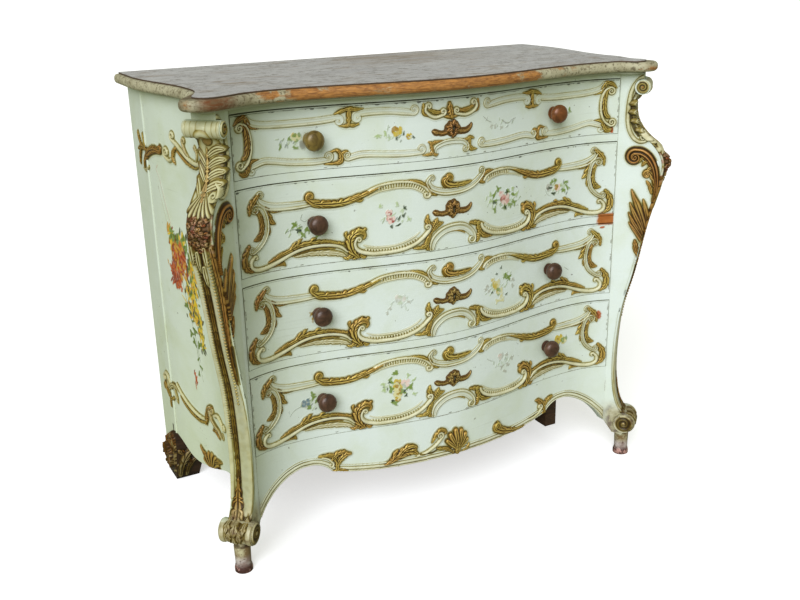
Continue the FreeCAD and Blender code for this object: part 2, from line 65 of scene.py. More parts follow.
# Sizes that the patches share with the solids, in millimetres
depth_origin = -215.25
opening_half = 470.0
hollow_x = 376.0
centre_swell = 31.5
side_hollow = 21.0
waist_half = 496.0
hip_half = 536.0
waist_y = 105.0
hip_y = 400.0
console_width = 50.0
drawer_bottoms = {1: 838.0, 2: 641.5, 3: 445.0, 4: 248.5}
drawer_heights = {1: 124.0, 2: 176.0, 3: 176.0, 4: 176.0}
escutcheon_x = -1.5
knee_room = 108.6         # reach that stays behind the front of the case, on the cheeks
side_room = 157.4         # reach and place across that stay inside the case's width
skin = 0.4                # the painted ground of a patch stands this far off the solid
sunk = -0.8               # the rim of a patch dips this far into it
fine = 1.0                # grid of the drawer fronts
spacing = 0.7             # between the places on a drawn line
line_margin = 2.0         # a line is looked for this far beyond its half width
side_limit = 581.0        # half width that the carving of the rear feet stays in
volute_bottom = 930.0
foot_scroll_top = 121.0
scroll_overhang = 11.6
console_out = 180.0       # where rays towards the consoles start
far_out = 700.0           # where rays towards the sides and the rear feet start
root_two = math.sqrt(2.0)
both_sides = ((1.0, "right"), (-1.0, "left"))

# Heights between which the paint of the top changes, in metres
quirk_level = (1.0066, 1.0060)
nose_level = (1.0038, 1.0034)
cove_level = (0.9822, 0.9818)

# Light and floor
sky_strength = 0.27
sky_tint = (1.0, 1.02, 0.76, 1.0)
floor_shade = (0.93, 0.93, 0.95, 1.0)
floor_lift = (0.50, 0.50, 0.50, 1.0)
floor_bounce = (0.35, 0.36, 0.24, 1.0)


def colour(r, g, b):
    """Linear colour of a paint seen as r, g, b of 255."""
    def linear(c):
        c = c / 255.0
        return c / 12.92 if c <= 0.04045 else ((c + 0.055) / 1.055) ** 2.4
    return (linear(r), linear(g), linear(b), 1.0)


# Curves through given places

def curve(points):
    """Evenly spaced places (u, v, half width) on a smooth curve through given ones."""
    p = np.array(points, float)
    p = np.vstack([2 * p[0] - p[1], p, 2 * p[-1] - p[-2]])
    runs = []
    for a, b, c, d in zip(p[:-3], p[1:-2], p[2:-1], p[3:]):
        count = max(int(np.hypot(*(c - b)[:2]) / spacing), 2)
        t = np.linspace(0.0, 1.0, count, endpoint=False)[:, None]
        runs.append(0.5 * (2 * b + (c - a) * t + (2 * a - 5 * b + 4 * c - d) * t ** 2
                           + (3 * b - a - 3 * c + d) * t ** 3))
    return evenly(np.vstack(runs + [p[-2:-1]]))


def smooth(path):
    """The line through given places; a line that is smooth already stays as it is."""
    return path if isinstance(path, np.ndarray) else curve(path)


def lengths(line):
    """Length along a line up to each of its places."""
    steps = np.hypot(*np.diff(line[:, :2], axis=0).T)
    return np.concatenate([[0.0], np.cumsum(steps)])


def evenly(line):
    """Points of a line at even steps of its length."""
    along = lengths(line)
    even = np.linspace(0.0, along[-1], max(int(along[-1] / spacing), 3))
    return np.column_stack([np.interp(even, along, line[:, k]) for k in range(3)])


def curl(line, radius, side, turns=1.35):
    """The line carried on into a spiral; side 1 turns left and -1 turns right."""
    end, before = line[-1], line[-3]
    heading = math.atan2(end[1] - before[1], end[0] - before[0])
    t = np.linspace(0.0, 1.0, max(int(turns * 5 * radius), 8))[1:]
    centre_u = end[0] - side * radius * math.sin(heading)
    centre_v = end[1] + side * radius * math.cos(heading)
    angle = heading - side * math.pi / 2 + side * t * turns * 2 * math.pi
    reach = radius * (1.0 - 0.85 * t)
    width = end[2] * (1.0 - 0.55 * t)
    turn = np.column_stack([centre_u + reach * np.cos(angle), centre_v + reach * np.sin(angle), width])
    return np.vstack([line, turn])


def scroll(points, start=None, end=None):
    """Curve with a spiral at its start, its end or both, each given as (radius, side, turns)."""
    line = curve(points)
    if start:
        line = curl(line[::-1], *start)[::-1]
    if end:
        line = curl(line, *end)
    return evenly(line)


def noise(u, v, size, seed):
    """Smooth random field between 0 and 1, in two octaves."""
    cells = 97
    total, weight = 0.0, 0.0
    for octave in range(2):
        grid = np.random.default_rng(seed + 17 * octave).random((cells, cells))
        x = u / size * 2 ** octave + 31.7
        y = v / size * 2 ** octave + 12.3
        i, j = np.floor(x).astype(int), np.floor(y).astype(int)
        fx, fy = x - i, y - j
        fx, fy = fx * fx * (3 - 2 * fx), fy * fy * (3 - 2 * fy)
        i, j, i1, j1 = i % cells, j % cells, (i + 1) % cells, (j + 1) % cells
        low = grid[i, j] * (1 - fx) + grid[i1, j] * fx
        high = grid[i, j1] * (1 - fx) + grid[i1, j1] * fx
        total = total + (low * (1 - fy) + high * fy) * 0.5 ** octave
        weight += 0.5 ** octave
    return total / weight


def ease(x, low, high):
    """0 below low, 1 above high, with a smooth rise between them."""
    t = np.clip((x - low) / (high - low), 0.0, 1.0)
    return t * t * (3 - 2 * t)


def blur(field, cells):
    """Mean over a square of cells, taken twice."""
    for axis in (0, 1):
        for _ in range(2):
            padded = np.concatenate([np.repeat(field.take([0], axis), cells + 1, axis), field,
                                     np.repeat(field.take([-1], axis), cells, axis)], axis)
            total = np.cumsum(padded, axis)
            size = field.shape[axis]
            ahead = total.take(range(2 * cells + 1, 2 * cells + 1 + size), axis)
            field = (ahead - total.take(range(size), axis)) / (2 * cells + 1)
    return field


def grown(mask):
    """A mask with the four neighbours of each of its cells."""
    wider = mask.copy()
    wider[1:] |= mask[:-1]
    wider[:-1] |= mask[1:]
    wider[:, 1:] |= mask[:, :-1]
    wider[:, :-1] |= mask[:, 1:]
    return wider


class Patch:
    """A carved and painted patch of surface on a grid."""

    def __init__(self, u0, u1, v0, v1, step=fine):
        self.step = step
        self.u0, self.v0 = u0, v0
        columns = int(round((u1 - u0) / step)) + 1
        rows = int(round((v1 - v0) / step)) + 1
        self.u, self.v = np.meshgrid(u0 + step * np.arange(columns), v0 + step * np.arange(rows))
        self.height, self.gild, self.cream, self.glaze_and_shade = np.zeros((4, rows, columns))
        self.cover, self.rub_and_highlight, self.tone = np.zeros((3, rows, columns))
        self.paint = np.zeros((rows, columns, 3))
        self.flip = 1.0

    def cell(self, u, v):
        """Rows and columns of places on the grid."""
        i = np.rint((u - self.u0) / self.step).astype(int)
        j = np.rint((v - self.v0) / self.step).astype(int)
        return j, i

    def window(self, u, v, reach):
        """Part of the grid within reach of a place."""
        rows, columns = self.u.shape
        i0 = min(max(int((u - reach - self.u0) / self.step), 0), columns)
        i1 = min(max(int((u + reach - self.u0) / self.step) + 2, 0), columns)
        j0 = min(max(int((v - reach - self.v0) / self.step), 0), rows)
        j1 = min(max(int((v + reach - self.v0) / self.step) + 2, 0), rows)
        return slice(j0, j1), slice(i0, i1)

    def around(self, u, v, reach):
        """Window round a place, with how far its cells lie from that place."""
        w = self.window(self.flip * u, v, reach)
        return w, (self.u[w] - self.flip * u) * self.flip, self.v[w] - v

    def locate(self, path):
        """Grid places near a line: where, arc length, signed distance, half width, whole length."""
        line = smooth(path) * np.array([self.flip, 1.0, 1.0])
        reach = float(line[:, 2].max()) + line_margin
        best = np.full(self.u.shape, 1e9)
        index = np.zeros(self.u.shape, int)
        for i, (u, v, _) in enumerate(line):
            w = self.window(u, v, reach)
            gap = (self.u[w] - u) ** 2 + (self.v[w] - v) ** 2
            closer = gap < best[w]
            best[w] = np.where(closer, gap, best[w])
            index[w] = np.where(closer, i, index[w])
        where = best < reach * reach
        i = index[where]
        tangent = np.gradient(line[:, :2], axis=0)
        tangent /= np.maximum(np.hypot(tangent[:, 0], tangent[:, 1]), 1e-6)[:, None]
        du, dv = self.u[where] - line[i, 0], self.v[where] - line[i, 1]
        cross = tangent[i, 0] * dv - tangent[i, 1] * du
        along = lengths(line)
        s = along[i] + np.clip(tangent[i, 0] * du + tangent[i, 1] * dv, -self.step, self.step)
        d = np.sqrt(best[where]) * np.sign(cross) * self.flip
        return where, s, d, np.maximum(line[i, 2], 0.3), along[-1]

    def lay(self, where, height, gild=0.0, cream=0.0, glaze_and_shade=0.0, tone=0.0):
        """Puts a carved form on the patch wherever it stands above what is there."""
        old = self.height[where]
        top = height > old + 0.02
        self.height[where] = np.where(top, height, old)
        settings = ((self.gild, gild), (self.cream, cream), (self.glaze_and_shade, glaze_and_shade), (self.tone, tone))
        for field, setting in settings:
            field[where] = np.where(top, setting, field[where])

    def bead(self, path, height=2.5, gild=0.0):
        """Rounded moulding."""
        where, _, d, w, _ = self.locate(path)
        q = np.clip(np.abs(d) / w, 0.0, 1.0)
        self.lay(where, height * np.sqrt(1 - q * q) * np.minimum(w / 2.0, 1.0), gild, 1.0 - gild)

    def band(self, path, height=3.6, lip=1, floor=0.28):
        """Cream hollow moulding with a raised lip on one side and a thin one on the other."""
        where, _, d, w, _ = self.locate(path)
        q = d / w * lip
        inside = np.clip((1.08 - np.abs(q)) / 0.16, 0.0, 1.0)
        strong = np.exp(-((q - 0.66) / 0.24) ** 2)
        weak = 0.5 * np.exp(-((q + 0.8) / 0.15) ** 2)
        profile = height * (floor + (1 - floor) * np.maximum(strong, weak)) * inside
        profile *= np.minimum(w / 3.0, 1.0)
        self.lay(where, profile * (inside > 0), 0.0, np.maximum(strong, weak) * 0.9 + 0.1)

    def leaf(self, path, height=4.0, lobes=0, teeth=0, lean=1.2, gild=1.0, vein=0.35, strands=0,
             tone=0.0, ink=0.5):
        """Acanthus leaf: lobed edge, ribs that lean outwards, a sunk vein along the middle."""
        line = smooth(path)
        where, s, d, w, length = self.locate(line)
        q = d / w
        uneven = 0.3 * np.sin(s * 0.13 + line[0, 0]) + 0.15 * np.sin(s * 0.31 + line[0, 1])
        phase = lobes * s / max(length, 1e-3) + uneven
        notch = np.sqrt(np.abs(np.sin(math.pi * phase)))
        toothed = (np.sign(q) == teeth) | (teeth == 0)
        reach = np.where(toothed & (lobes > 0), 0.6 + 0.46 * notch, 0.92)
        q = q / reach
        body = np.clip(1 - np.abs(q) ** 2.4, 0.0, 1.0) ** 0.55
        grain = 0.5 + 0.5 * np.cos(2 * math.pi * (phase - lean * np.abs(q)))
        grain = grain * np.clip(np.abs(q) * 2.5, 0.0, 1.0) if lobes else 0.0 * q
        if strands:
            grain = 0.5 + 0.5 * np.cos(2 * math.pi * strands * (q + 0.15))
        groove = vein * np.exp(-(q / 0.16) ** 2)
        grain = grain ** 2
        profile = height * body * (1 - groove) * (1 - 0.24 * grain)
        profile *= np.minimum(w / 3.0, 1.0)
        # Darker along the ribs, in the vein and towards the edges: glaze, and partly painted shade of the
        # rounded leaf.
        shaded = ink * (0.7 * grain + ease(np.abs(q), 0.5, 1.0)) + 0.8 * groove
        self.lay(where, profile, gild, 1.0 - gild, shaded, tone)

    def flutes(self, path, pitch=5.5, height=1.6, gild=0.0):
        """Row of small upright beads on what is there."""
        where, s, d, w, _ = self.locate(path)
        q = np.clip(np.abs(d) / w, 0.0, 1.0)
        wave = np.clip(0.15 + np.cos(2 * math.pi * s / pitch), 0.0, 1.0)
        self.lay(where, self.height[where] + height * np.sqrt(wave) * (1 - q ** 4), gild, 1.0 - gild)

    def fan(self, u, v, radius, aim, spread, ribs, height, gild=1.0, ink=0.8, tone=0.0):
        """Shell: ribs that fan out from a root, with a scalloped rim."""
        w, du, dv = self.around(u, v, radius * 1.1)
        r = np.hypot(du, dv) / radius
        angle = (np.degrees(np.arctan2(dv, du)) - aim + 180.0) % 360.0 - 180.0
        turn = angle / spread
        wave = np.abs(np.cos(math.pi * ribs * turn / 2.0))
        rim = 0.86 + 0.14 * wave
        body = np.clip(1 - (r / rim) ** 6, 0.0, 1.0) * np.clip((1 - np.abs(turn)) * 8, 0.0, 1.0)
        body = np.sqrt(body) * np.clip(r / 0.12, 0.3, 1.0)
        profile = height * body * (0.45 + 0.4 * wave + 0.15 * r)
        # Darker between the ribs: glaze, and partly painted shade in the grooves.
        self.lay(w, profile, gild, 1.0 - gild, ink * (1 - wave), tone)

    def knobble(self, u, v, radius, height, gild, glaze_and_shade, tone):
        """Round boss."""
        w, du, dv = self.around(u, v, radius + 1)
        q = np.hypot(du, dv) / radius
        self.lay(w, height * np.sqrt(np.clip(1 - q * q, 0, 1)), gild, 1.0 - gild, glaze_and_shade, tone)

    def stain(self, path, strength):
        """Brown glaze along a groove."""
        where, _, d, w, _ = self.locate(path)
        amount = strength * (1 - ease(np.abs(d) / w, 0.65, 1.35))
        self.glaze_and_shade[where] = np.maximum(self.glaze_and_shade[where], amount)

    def dab(self, u, v, long, short, degrees, paint, strength):
        """Touch of a loaded brush."""
        w, du, dv = self.around(u, v, max(long, short) * 1.4)
        a = math.radians(degrees)
        x, y = du * math.cos(a) + dv * math.sin(a), dv * math.cos(a) - du * math.sin(a)
        q = np.hypot(x / long, y / short) + 0.35 * (noise(self.u[w], self.v[w], 2.6, 5) - 0.5)
        self.tint(w, strength * (1 - ease(q, 0.7, 1.1)), paint)

    def brush(self, path, paint, strength):
        """Painted line."""
        where, _, d, w, _ = self.locate(path)
        q = np.abs(d) / np.maximum(w, 0.4)
        broken = 0.65 + 0.6 * (noise(self.u[where], self.v[where], 5.0, 8) - 0.3)
        self.tint(where, strength * np.clip(broken, 0, 1) * (1 - ease(q, 0.6, 1.25)), paint)

    def tint(self, where, amount, paint):
        """Paint over what is there, by an amount between 0 and 1."""
        old = self.cover[where]
        total = amount + old * (1 - amount)
        share = np.where(total > 1e-4, amount / np.maximum(total, 1e-4), 0.0)[..., None]
        self.paint[where] = self.paint[where] * (1 - share) + np.array(paint[:3]) * share
        self.cover[where] = total

    def age(self, seed, strength=1.0):
        """Brown glaze that has stayed in the hollows of the carving, and high places that are rubbed and
        carry a painted highlight.
        """
        near = blur(self.height, max(int(1.6 / self.step), 1)) - self.height
        wide = blur(self.height, max(int(4.5 / self.step), 2)) - self.height
        patchy = 0.45 + 0.8 * noise(self.u, self.v, 34.0, seed)
        hollow = np.clip(near * 1.3 + wide * 0.30 - 0.03, 0.0, 1.0)
        hollow *= np.where(self.height > 0.3, 1.0, 0.75)
        self.glaze_and_shade = np.clip(self.glaze_and_shade * (0.55 + 0.5 * patchy) + hollow * patchy * strength, 0, 1)
        # High places are lighter: rubbed, and partly a painted highlight.
        broken = 0.6 + 0.8 * noise(self.u, self.v, 7.0, seed + 3)
        self.rub_and_highlight = np.clip((-near * 1.6 - wide * 0.5) * broken, 0, 1) * (self.height > 0.3)

    def soil(self, size, amount, seed, least=0.0):
        """Thin brown glaze that has gathered in clouds, over all of the carving where least is above 0."""
        cloud = least + (1 - least) * ease(noise(self.u, self.v, size, seed), 0.35, 0.8)
        self.glaze_and_shade = np.clip(self.glaze_and_shade + amount * cloud * ease(self.height, 0.2, 1.0), 0, 1)

    def hold(self, limit):
        """Keeps the carving under a height limit that may change over the patch."""
        self.height = np.minimum(self.height, limit - skin)

    def keep(self):
        """Places that carry relief or paint, with a margin of two cells."""
        shown = (self.height > 0.04) | (self.glaze_and_shade > 0.03) | (self.cover > 0.02)
        return grown(grown(shown))

    def quads(self, shown):
        """Faces between shown places, as numbers on the grid, and the places inside their rim."""
        whole = shown[:-1, :-1] & shown[1:, :-1] & shown[:-1, 1:] & shown[1:, 1:]
        number = np.arange(self.u.size).reshape(self.u.shape)
        corners = [number[:-1, :-1], number[:-1, 1:], number[1:, 1:], number[1:, :-1]]
        inner = np.zeros(shown.shape, bool)
        inner[1:-1, 1:-1] = whole[:-1, :-1] & whole[1:, :-1] & whole[:-1, 1:] & whole[1:, 1:]
        return np.stack([c[whole] for c in corners], -1), inner

    def colour_layers(self, mesh, used):
        """Masks and paint of the used places, as colours on the mesh."""
        one = np.ones(self.u.shape)
        layers = {"masks": (self.gild, self.cream, self.glaze_and_shade, one),
                  "covers": (self.cover, self.rub_and_highlight, self.tone, one),
                  "paint": tuple(self.paint[..., k] for k in range(3)) + (one,)}
        for key, fields in layers.items():
            values = np.stack(fields, -1).reshape(-1, 4)[used]
            layer = mesh.attributes.new(key, "FLOAT_COLOR", "POINT")
            layer.data.foreach_set("color", values.astype(np.float32).ravel())

    def build(self, name, place, body, material, slot, limit=None, back=0.0):
        """Mesh of the patch; place gives the points for u, v and height, and limit where it may be."""
        shown = self.keep() if limit is None else self.keep() & limit
        faces, inner = self.quads(shown)
        used = np.unique(faces)
        u, v = self.u.ravel()[used], self.v.ravel()[used]
        height = np.where(inner, self.height + skin, sunk)
        points = place(u, v, height.ravel()[used])
        order = np.zeros(self.u.size, int)
        order[used] = np.arange(len(used))
        faces = order[faces]
        if back:
            points = np.vstack([points, place(u, v, np.full(len(used), sunk - back))])
            faces = closed(faces, len(used))
            used = np.concatenate([used, used])
        if place.turned:
            faces = faces[:, ::-1]
        mesh = bpy.data.meshes.new(name)
        mesh.from_pydata((points / 1000.0).tolist(), [], faces.tolist())
        mesh.update()
        mesh.shade_smooth()
        self.colour_layers(mesh, used)
        piece = bpy.data.objects.new(name, mesh)
        bpy.context.scene.collection.objects.link(piece)
        mesh.materials.append(material)
        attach(piece, body)
        return piece


def closed(faces, count):
    """Faces with a back of their own and walls along their rim."""
    edges = np.concatenate([faces[:, [k, (k + 1) % 4]] for k in range(4)])
    forward = set(map(tuple, edges.tolist()))
    rim = np.array([e for e in forward if (e[1], e[0]) not in forward])
    walls = np.stack([rim[:, 1], rim[:, 0], rim[:, 0] + count, rim[:, 1] + count], -1)
    return np.vstack([faces, faces[:, ::-1] + count, walls])


def surface(turned=False):
    """Marks a function that places a patch; turned where its u and v run the other way round."""
    def mark(place):
        place.turned = turned
        return place
    return mark


# Surfaces that the patches lie on

def front_y(x):
    """Depth of the serpentine front, as the solids have it."""
    a = np.abs(x)
    mean = (side_hollow - centre_swell) / 2.0
    swing = (side_hollow + centre_swell) / 2.0
    inner = mean - swing * np.cos(np.pi * a / hollow_x)
    outer = side_hollow * (1.0 - ((a - hollow_x) / (opening_half - hollow_x)) ** 2)
    return np.where(a <= hollow_x, inner, outer)


@surface()
def on_front(u, v, h):
    """Serpentine front of the drawers and the apron."""
    slope = front_y(u + 0.5) - front_y(u - 0.5)
    length = np.sqrt(1 + slope * slope)
    return np.stack([u + slope / length * h, front_y(u) + depth_origin - h / length, v], -1)


def side_x(y):
    """Half width of the case, as the solids have it."""
    turn = (1 - np.cos(np.pi * (y - waist_y) / (hip_y - waist_y))) / 2.0
    return np.where(y >= hip_y, hip_half, waist_half + (hip_half - waist_half) * turn)


def on_side(sign):
    """Side surface: u is the depth behind the line of the drawer ends."""
    @surface(sign < 0)
    def place(u, v, h):
        slope = side_x(u + 0.5) - side_x(u - 0.5)
        length = np.sqrt(1 + slope * slope)
        return np.stack([sign * (side_x(u) + h / length), u - slope / length * h + depth_origin, v], -1)
    return place


trees = {}


def tree_of(key):
    """Search tree of a node's mesh, in millimetres."""
    if key not in trees:
        mesh = nodes[key].data
        points = [tuple(c * 1000.0 for c in vertex.co) for vertex in mesh.vertices]
        trees[key] = BVHTree.FromPolygons(points, [tuple(face.vertices) for face in mesh.polygons])
    return trees[key]


def cast(key, starts, aim, far):
    """Where rays from the starts first meet a node: distances, or nan."""
    tree = tree_of(key)
    found = [tree.ray_cast(Vector(start), Vector(aim), far)[3] for start in starts.reshape(-1, 3)]
    return np.array([np.nan if f is None else f for f in found]).reshape(starts.shape[:-1])


def cast_from_side(key, sign, p):
    """Distances from far out at one side to a node, level with each place of a patch."""
    starts = np.stack([sign * far_out + 0 * p.u, p.u + depth_origin, p.v], -1)
    return cast(key, starts, (-sign, 0.0, 0.0), 300.0)


def stile_point(sign, reach, across, z):
    """Place on a stile: reach along its diagonal, across it, and height."""
    x = sign * (opening_half + (reach + across) / root_two)
    y = (across - reach) / root_two + depth_origin
    return np.stack([x, y, z + 0.0 * x], -1)


def on_cheek(sign):
    """Cheek of a stile that looks towards the drawers: u is the reach."""
    @surface(sign < 0)
    def place(u, v, h):
        return stile_point(sign, u, -h, v)
    return place


def on_disc(sign, across):
    """Round end of a scroll on a stile."""
    @surface((sign < 0) == (across < 0))
    def place(u, v, h):
        outward = -h if across < 0 else h
        return stile_point(sign, u, across + outward, v)
    return place


def scrolled(p):
    """Places of the console that lie on the volute or the foot scroll."""
    return (p.v > volute_bottom) | (p.v < foot_scroll_top)


def on_console(sign, key, p):
    """Outer face of the console, found by rays: u is the place across it."""
    wider = np.where(scrolled(p), scroll_overhang, -0.6)
    inside = np.clip(p.u, -wider, console_width + wider)
    starts = stile_point(sign, console_out + 0.0 * p.u, inside, p.v)
    gap = cast(key + "_front_stile", starts, (-sign / root_two, 1.0 / root_two, 0.0), 260.0)
    reach = console_out - gap - 0.10 * np.abs(p.u - inside) ** 2

    @surface(sign < 0)
    def place(u, v, h):
        return stile_point(sign, reach[p.cell(u, v)] + h, u, v)
    return place, ~np.isnan(reach), reach


# Materials

class Shader:
    """Small helper to write node materials in a few lines."""

    def __init__(self, name):
        self.material = bpy.data.materials.new(name)
        self.material.use_nodes = True
        self.tree = self.material.node_tree
        self.tree.nodes.clear()
        output = self.tree.nodes.new("ShaderNodeOutputMaterial")
        self.surface = self.tree.nodes.new("ShaderNodeBsdfPrincipled")
        self.link(self.surface.outputs[0], output.inputs[0])
        self.place = self.tree.nodes.new("ShaderNodeTexCoord").outputs["Object"]

    def link(self, output, socket):
        self.tree.links.new(output, socket)

    def put(self, socket, setting):
        """Links a socket, or sets a plain value."""
        if isinstance(setting, bpy.types.NodeSocket):
            self.link(setting, socket)
        else:
            socket.default_value = setting

    def set(self, **settings):
        """Settings of the surface."""
        names = {"color": "Base Color", "rough": "Roughness", "metal": "Metallic", "normal": "Normal",
                 "spec": "Specular IOR Level"}
        for key, setting in settings.items():
            self.put(self.surface.inputs[names[key]], setting)

    def stretched(self, scale):
        """Place on the object, scaled along x, y and z."""
        node = self.tree.nodes.new("ShaderNodeMapping")
        self.link(self.place, node.inputs["Vector"])
        node.inputs["Scale"].default_value = scale
        return node.outputs[0]

    def noise(self, scale, detail=4.0, rough=0.55, where=None, warp=0.0):
        node = self.tree.nodes.new("ShaderNodeTexNoise")
        self.link(where or self.place, node.inputs["Vector"])
        node.inputs["Scale"].default_value = scale
        node.inputs["Detail"].default_value = detail
        node.inputs["Roughness"].default_value = rough
        node.inputs["Distortion"].default_value = warp
        return node.outputs["Fac"]

    def ramp(self, fac, *stops):
        """Colour or grey ramp; each stop is (place, colour or value)."""
        node = self.tree.nodes.new("ShaderNodeValToRGB")
        self.link(fac, node.inputs[0])
        elements = node.color_ramp.elements
        while len(elements) < len(stops):
            elements.new(0.5)
        for element, (at, shade) in zip(elements, stops):
            element.position = at
            element.color = shade if isinstance(shade, tuple) else (shade, shade, shade, 1.0)
        return node.outputs[0]

    def math(self, kind, a, b, clamp=False):
        node = self.tree.nodes.new("ShaderNodeMath")
        node.operation = kind
        node.use_clamp = clamp
        self.put(node.inputs[0], a)
        self.put(node.inputs[1], b)
        return node.outputs[0]

    def times(self, a, b):
        return self.math("MULTIPLY", a, b)

    def mix(self, fac, a, b, kind="MIX"):
        node = self.tree.nodes.new("ShaderNodeMix")
        node.data_type = "RGBA"
        node.blend_type = kind
        self.put(node.inputs[0], fac)
        self.put(node.inputs[6], a)
        self.put(node.inputs[7], b)
        return node.outputs[2]

    def over(self, base, shade, fac, *stops):
        """A base with a shade laid over it, as much as the ramp of a factor says."""
        return self.mix(self.ramp(fac, *stops), base, shade)

    def attribute(self, name):
        """Colour that a patch carries on its points."""
        node = self.tree.nodes.new("ShaderNodeAttribute")
        node.attribute_name = name
        return node.outputs["Color"]

    def channels(self, name):
        """The three masks in such a colour."""
        split = self.tree.nodes.new("ShaderNodeSeparateColor")
        self.link(self.attribute(name), split.inputs[0])
        return split.outputs[:3]

    def position(self):
        """Place on the object: x, y and z."""
        split = self.tree.nodes.new("ShaderNodeSeparateXYZ")
        self.link(self.place, split.inputs[0])
        return split.outputs[:3]

    def span(self, socket, low, high):
        """0 below low, 1 above high, or the other way round."""
        node = self.tree.nodes.new("ShaderNodeMapRange")
        self.link(socket, node.inputs[0])
        node.inputs[1].default_value = low
        node.inputs[2].default_value = high
        return node.outputs[0]

    def bump(self, height, distance, strength):
        node = self.tree.nodes.new("ShaderNodeBump")
        self.link(height, node.inputs["Height"])
        node.inputs["Distance"].default_value = distance
        node.inputs["Strength"].default_value = strength
        return node.outputs[0]

    def crease(self, distance):
        """1 in corners and creases, by ambient occlusion; the materials darken these places as painted shade,
        in some of them together with old glaze and dust.
        """
        node = self.tree.nodes.new("ShaderNodeAmbientOcclusion")
        node.inputs["Distance"].default_value = distance
        node.samples = 4
        return self.math("SUBTRACT", 1.0, node.outputs["AO"], True)

    def edge(self, radius):
        """1 on sharp edges of the solids."""
        bevel = self.tree.nodes.new("ShaderNodeBevel")
        bevel.samples = 3
        bevel.inputs["Radius"].default_value = radius
        geometry = self.tree.nodes.new("ShaderNodeNewGeometry")
        product = self.tree.nodes.new("ShaderNodeVectorMath")
        product.operation = "DOT_PRODUCT"
        self.link(bevel.outputs[0], product.inputs[0])
        self.link(geometry.outputs["Normal"], product.inputs[1])
        return self.span(product.outputs["Value"], 0.995, 0.9)


def distemper(s, ground, cool, warm):
    """Clouded paint with streaks that run down it and dark specks; the streaks come with it."""
    base = s.over(cool, ground, s.noise(2.6, 3.0), (0.38, 0.0), (0.62, 1.0))
    base = s.over(base, warm, s.noise(9.0, 5.0, 0.6, warp=0.4), (0.45, 0.0), (0.72, 0.75))
    streak = s.noise(1.0, 6.0, 0.7, s.stretched((7.0, 7.0, 260.0)))
    spread = s.ramp(s.noise(5.0, 2.0), (0.5, 0.0), (0.75, 1.0))
    streaks = s.times(s.ramp(streak, (0.56, 0.0), (0.74, 0.4)), spread)
    base = s.mix(streaks, base, colour(140, 140, 106))
    specks = s.ramp(s.noise(120.0, 2.0, 0.5), (0.69, 0.0), (0.74, 0.9))
    speck_spread = s.ramp(s.noise(11.0, 2.0), (0.55, 0.0), (0.7, 1.0))
    return s.mix(s.times(specks, speck_spread), base, colour(74, 60, 40)), streak


def leafing(s, gold, rubbed, toned, left_end):
    """Gilding, lighter on high places where it is rubbed and as a painted highlight, russet where it is toned
    or at the left end.
    """
    gold_light, gold_mid, gold_dark = gold
    shade = s.over(gold_mid, gold_dark, s.noise(70.0, 3.0), (0.42, 0.0), (0.62, 0.7))
    shade = s.over(shade, gold_dark, s.noise(120.0, 4.0, 0.6), (0.5, 0.0), (0.7, 0.4))
    light = s.over(gold_light, colour(208, 152, 90), s.noise(7.0, 3.0), (0.45, 0.0), (0.65, 0.55))
    # Painted highlight, partly rubbed gilding: lighter gold and russet on high places.
    shade = s.over(shade, light, rubbed, (0.05, 0.0), (0.6, 1.0))
    russet = s.mix(rubbed, colour(88, 42, 28), colour(168, 96, 60))
    shade = s.mix(toned, shade, russet)
    return s.mix(s.times(left_end, 0.5), shade, russet)


def shade_and_wear(s, base, left_end):
    """Painted shade at the left end of the drawers and on the left side, darker towards its bottom; a bare
    end of one rail and stained foot scrolls.
    """
    x, y, z = s.position()
    # Painted shade at the left end of the drawers, where the left console shades them.
    base = s.mix(s.times(left_end, 0.7), base, colour(196, 198, 176), "MULTIPLY")
    # Painted shade on the left side, darker and yellower towards the bottom.
    left_side = s.span(x, -0.478, -0.484)
    base = s.mix(left_side, base, colour(243, 244, 233), "MULTIPLY")
    base = s.mix(s.times(left_side, s.span(z, 0.5, 0.1)), base, colour(250, 250, 236), "MULTIPLY")
    ragged = s.math("ADD", x, s.times(s.noise(60.0, 4.0), 0.02))
    across = s.times(s.span(ragged, 0.438, 0.444), s.span(x, 0.4705, 0.468))
    upright = s.times(s.span(z, 0.617, 0.621), s.span(z, 0.650, 0.645))
    bare = s.times(s.times(across, upright), s.span(y, -0.19, -0.20))
    base = s.mix(bare, base, s.mix(s.noise(80.0, 3.0), colour(146, 78, 30), colour(198, 124, 64)))
    low = s.times(s.span(z, 0.16, 0.125), s.span(y, -0.205, -0.225))
    stale = s.ramp(s.noise(34.0, 5.0, 0.65), (0.38, colour(104, 76, 50)),
                   (0.5, colour(176, 166, 128)), (0.66, colour(212, 206, 180)))
    return s.mix(s.times(low, 0.85), base, stale)


def shade_and_glaze(s, base, glaze):
    """Painted shade in the corners of the solids, and glaze and dust in their creases and in the hollows of
    the carving, partly painted shade as well.
    """
    # Painted shade: the paint is darkened where the solids shade each other, such as next to the consoles.
    corner = s.math("MULTIPLY", s.crease(0.06), 0.85, True)
    base = s.mix(corner, base, colour(206, 210, 182), "MULTIPLY")
    # Glaze and dust in the creases, partly painted shade there.
    crease_grime_and_shade = s.times(s.crease(0.010), s.ramp(s.noise(18.0, 3.0), (0.35, 0.15), (0.7, 0.8)))
    glaze_and_crease_shade = s.math("ADD", s.times(glaze, 0.9), s.times(crease_grime_and_shade, 0.5), True)
    base = s.mix(s.ramp(glaze_and_crease_shade, (0.0, 0.0), (0.45, 1.0)), base, colour(194, 174, 100), "MULTIPLY")
    return s.over(base, colour(50, 34, 10), glaze_and_crease_shade, (0.3, 0.0), (0.95, 0.95))


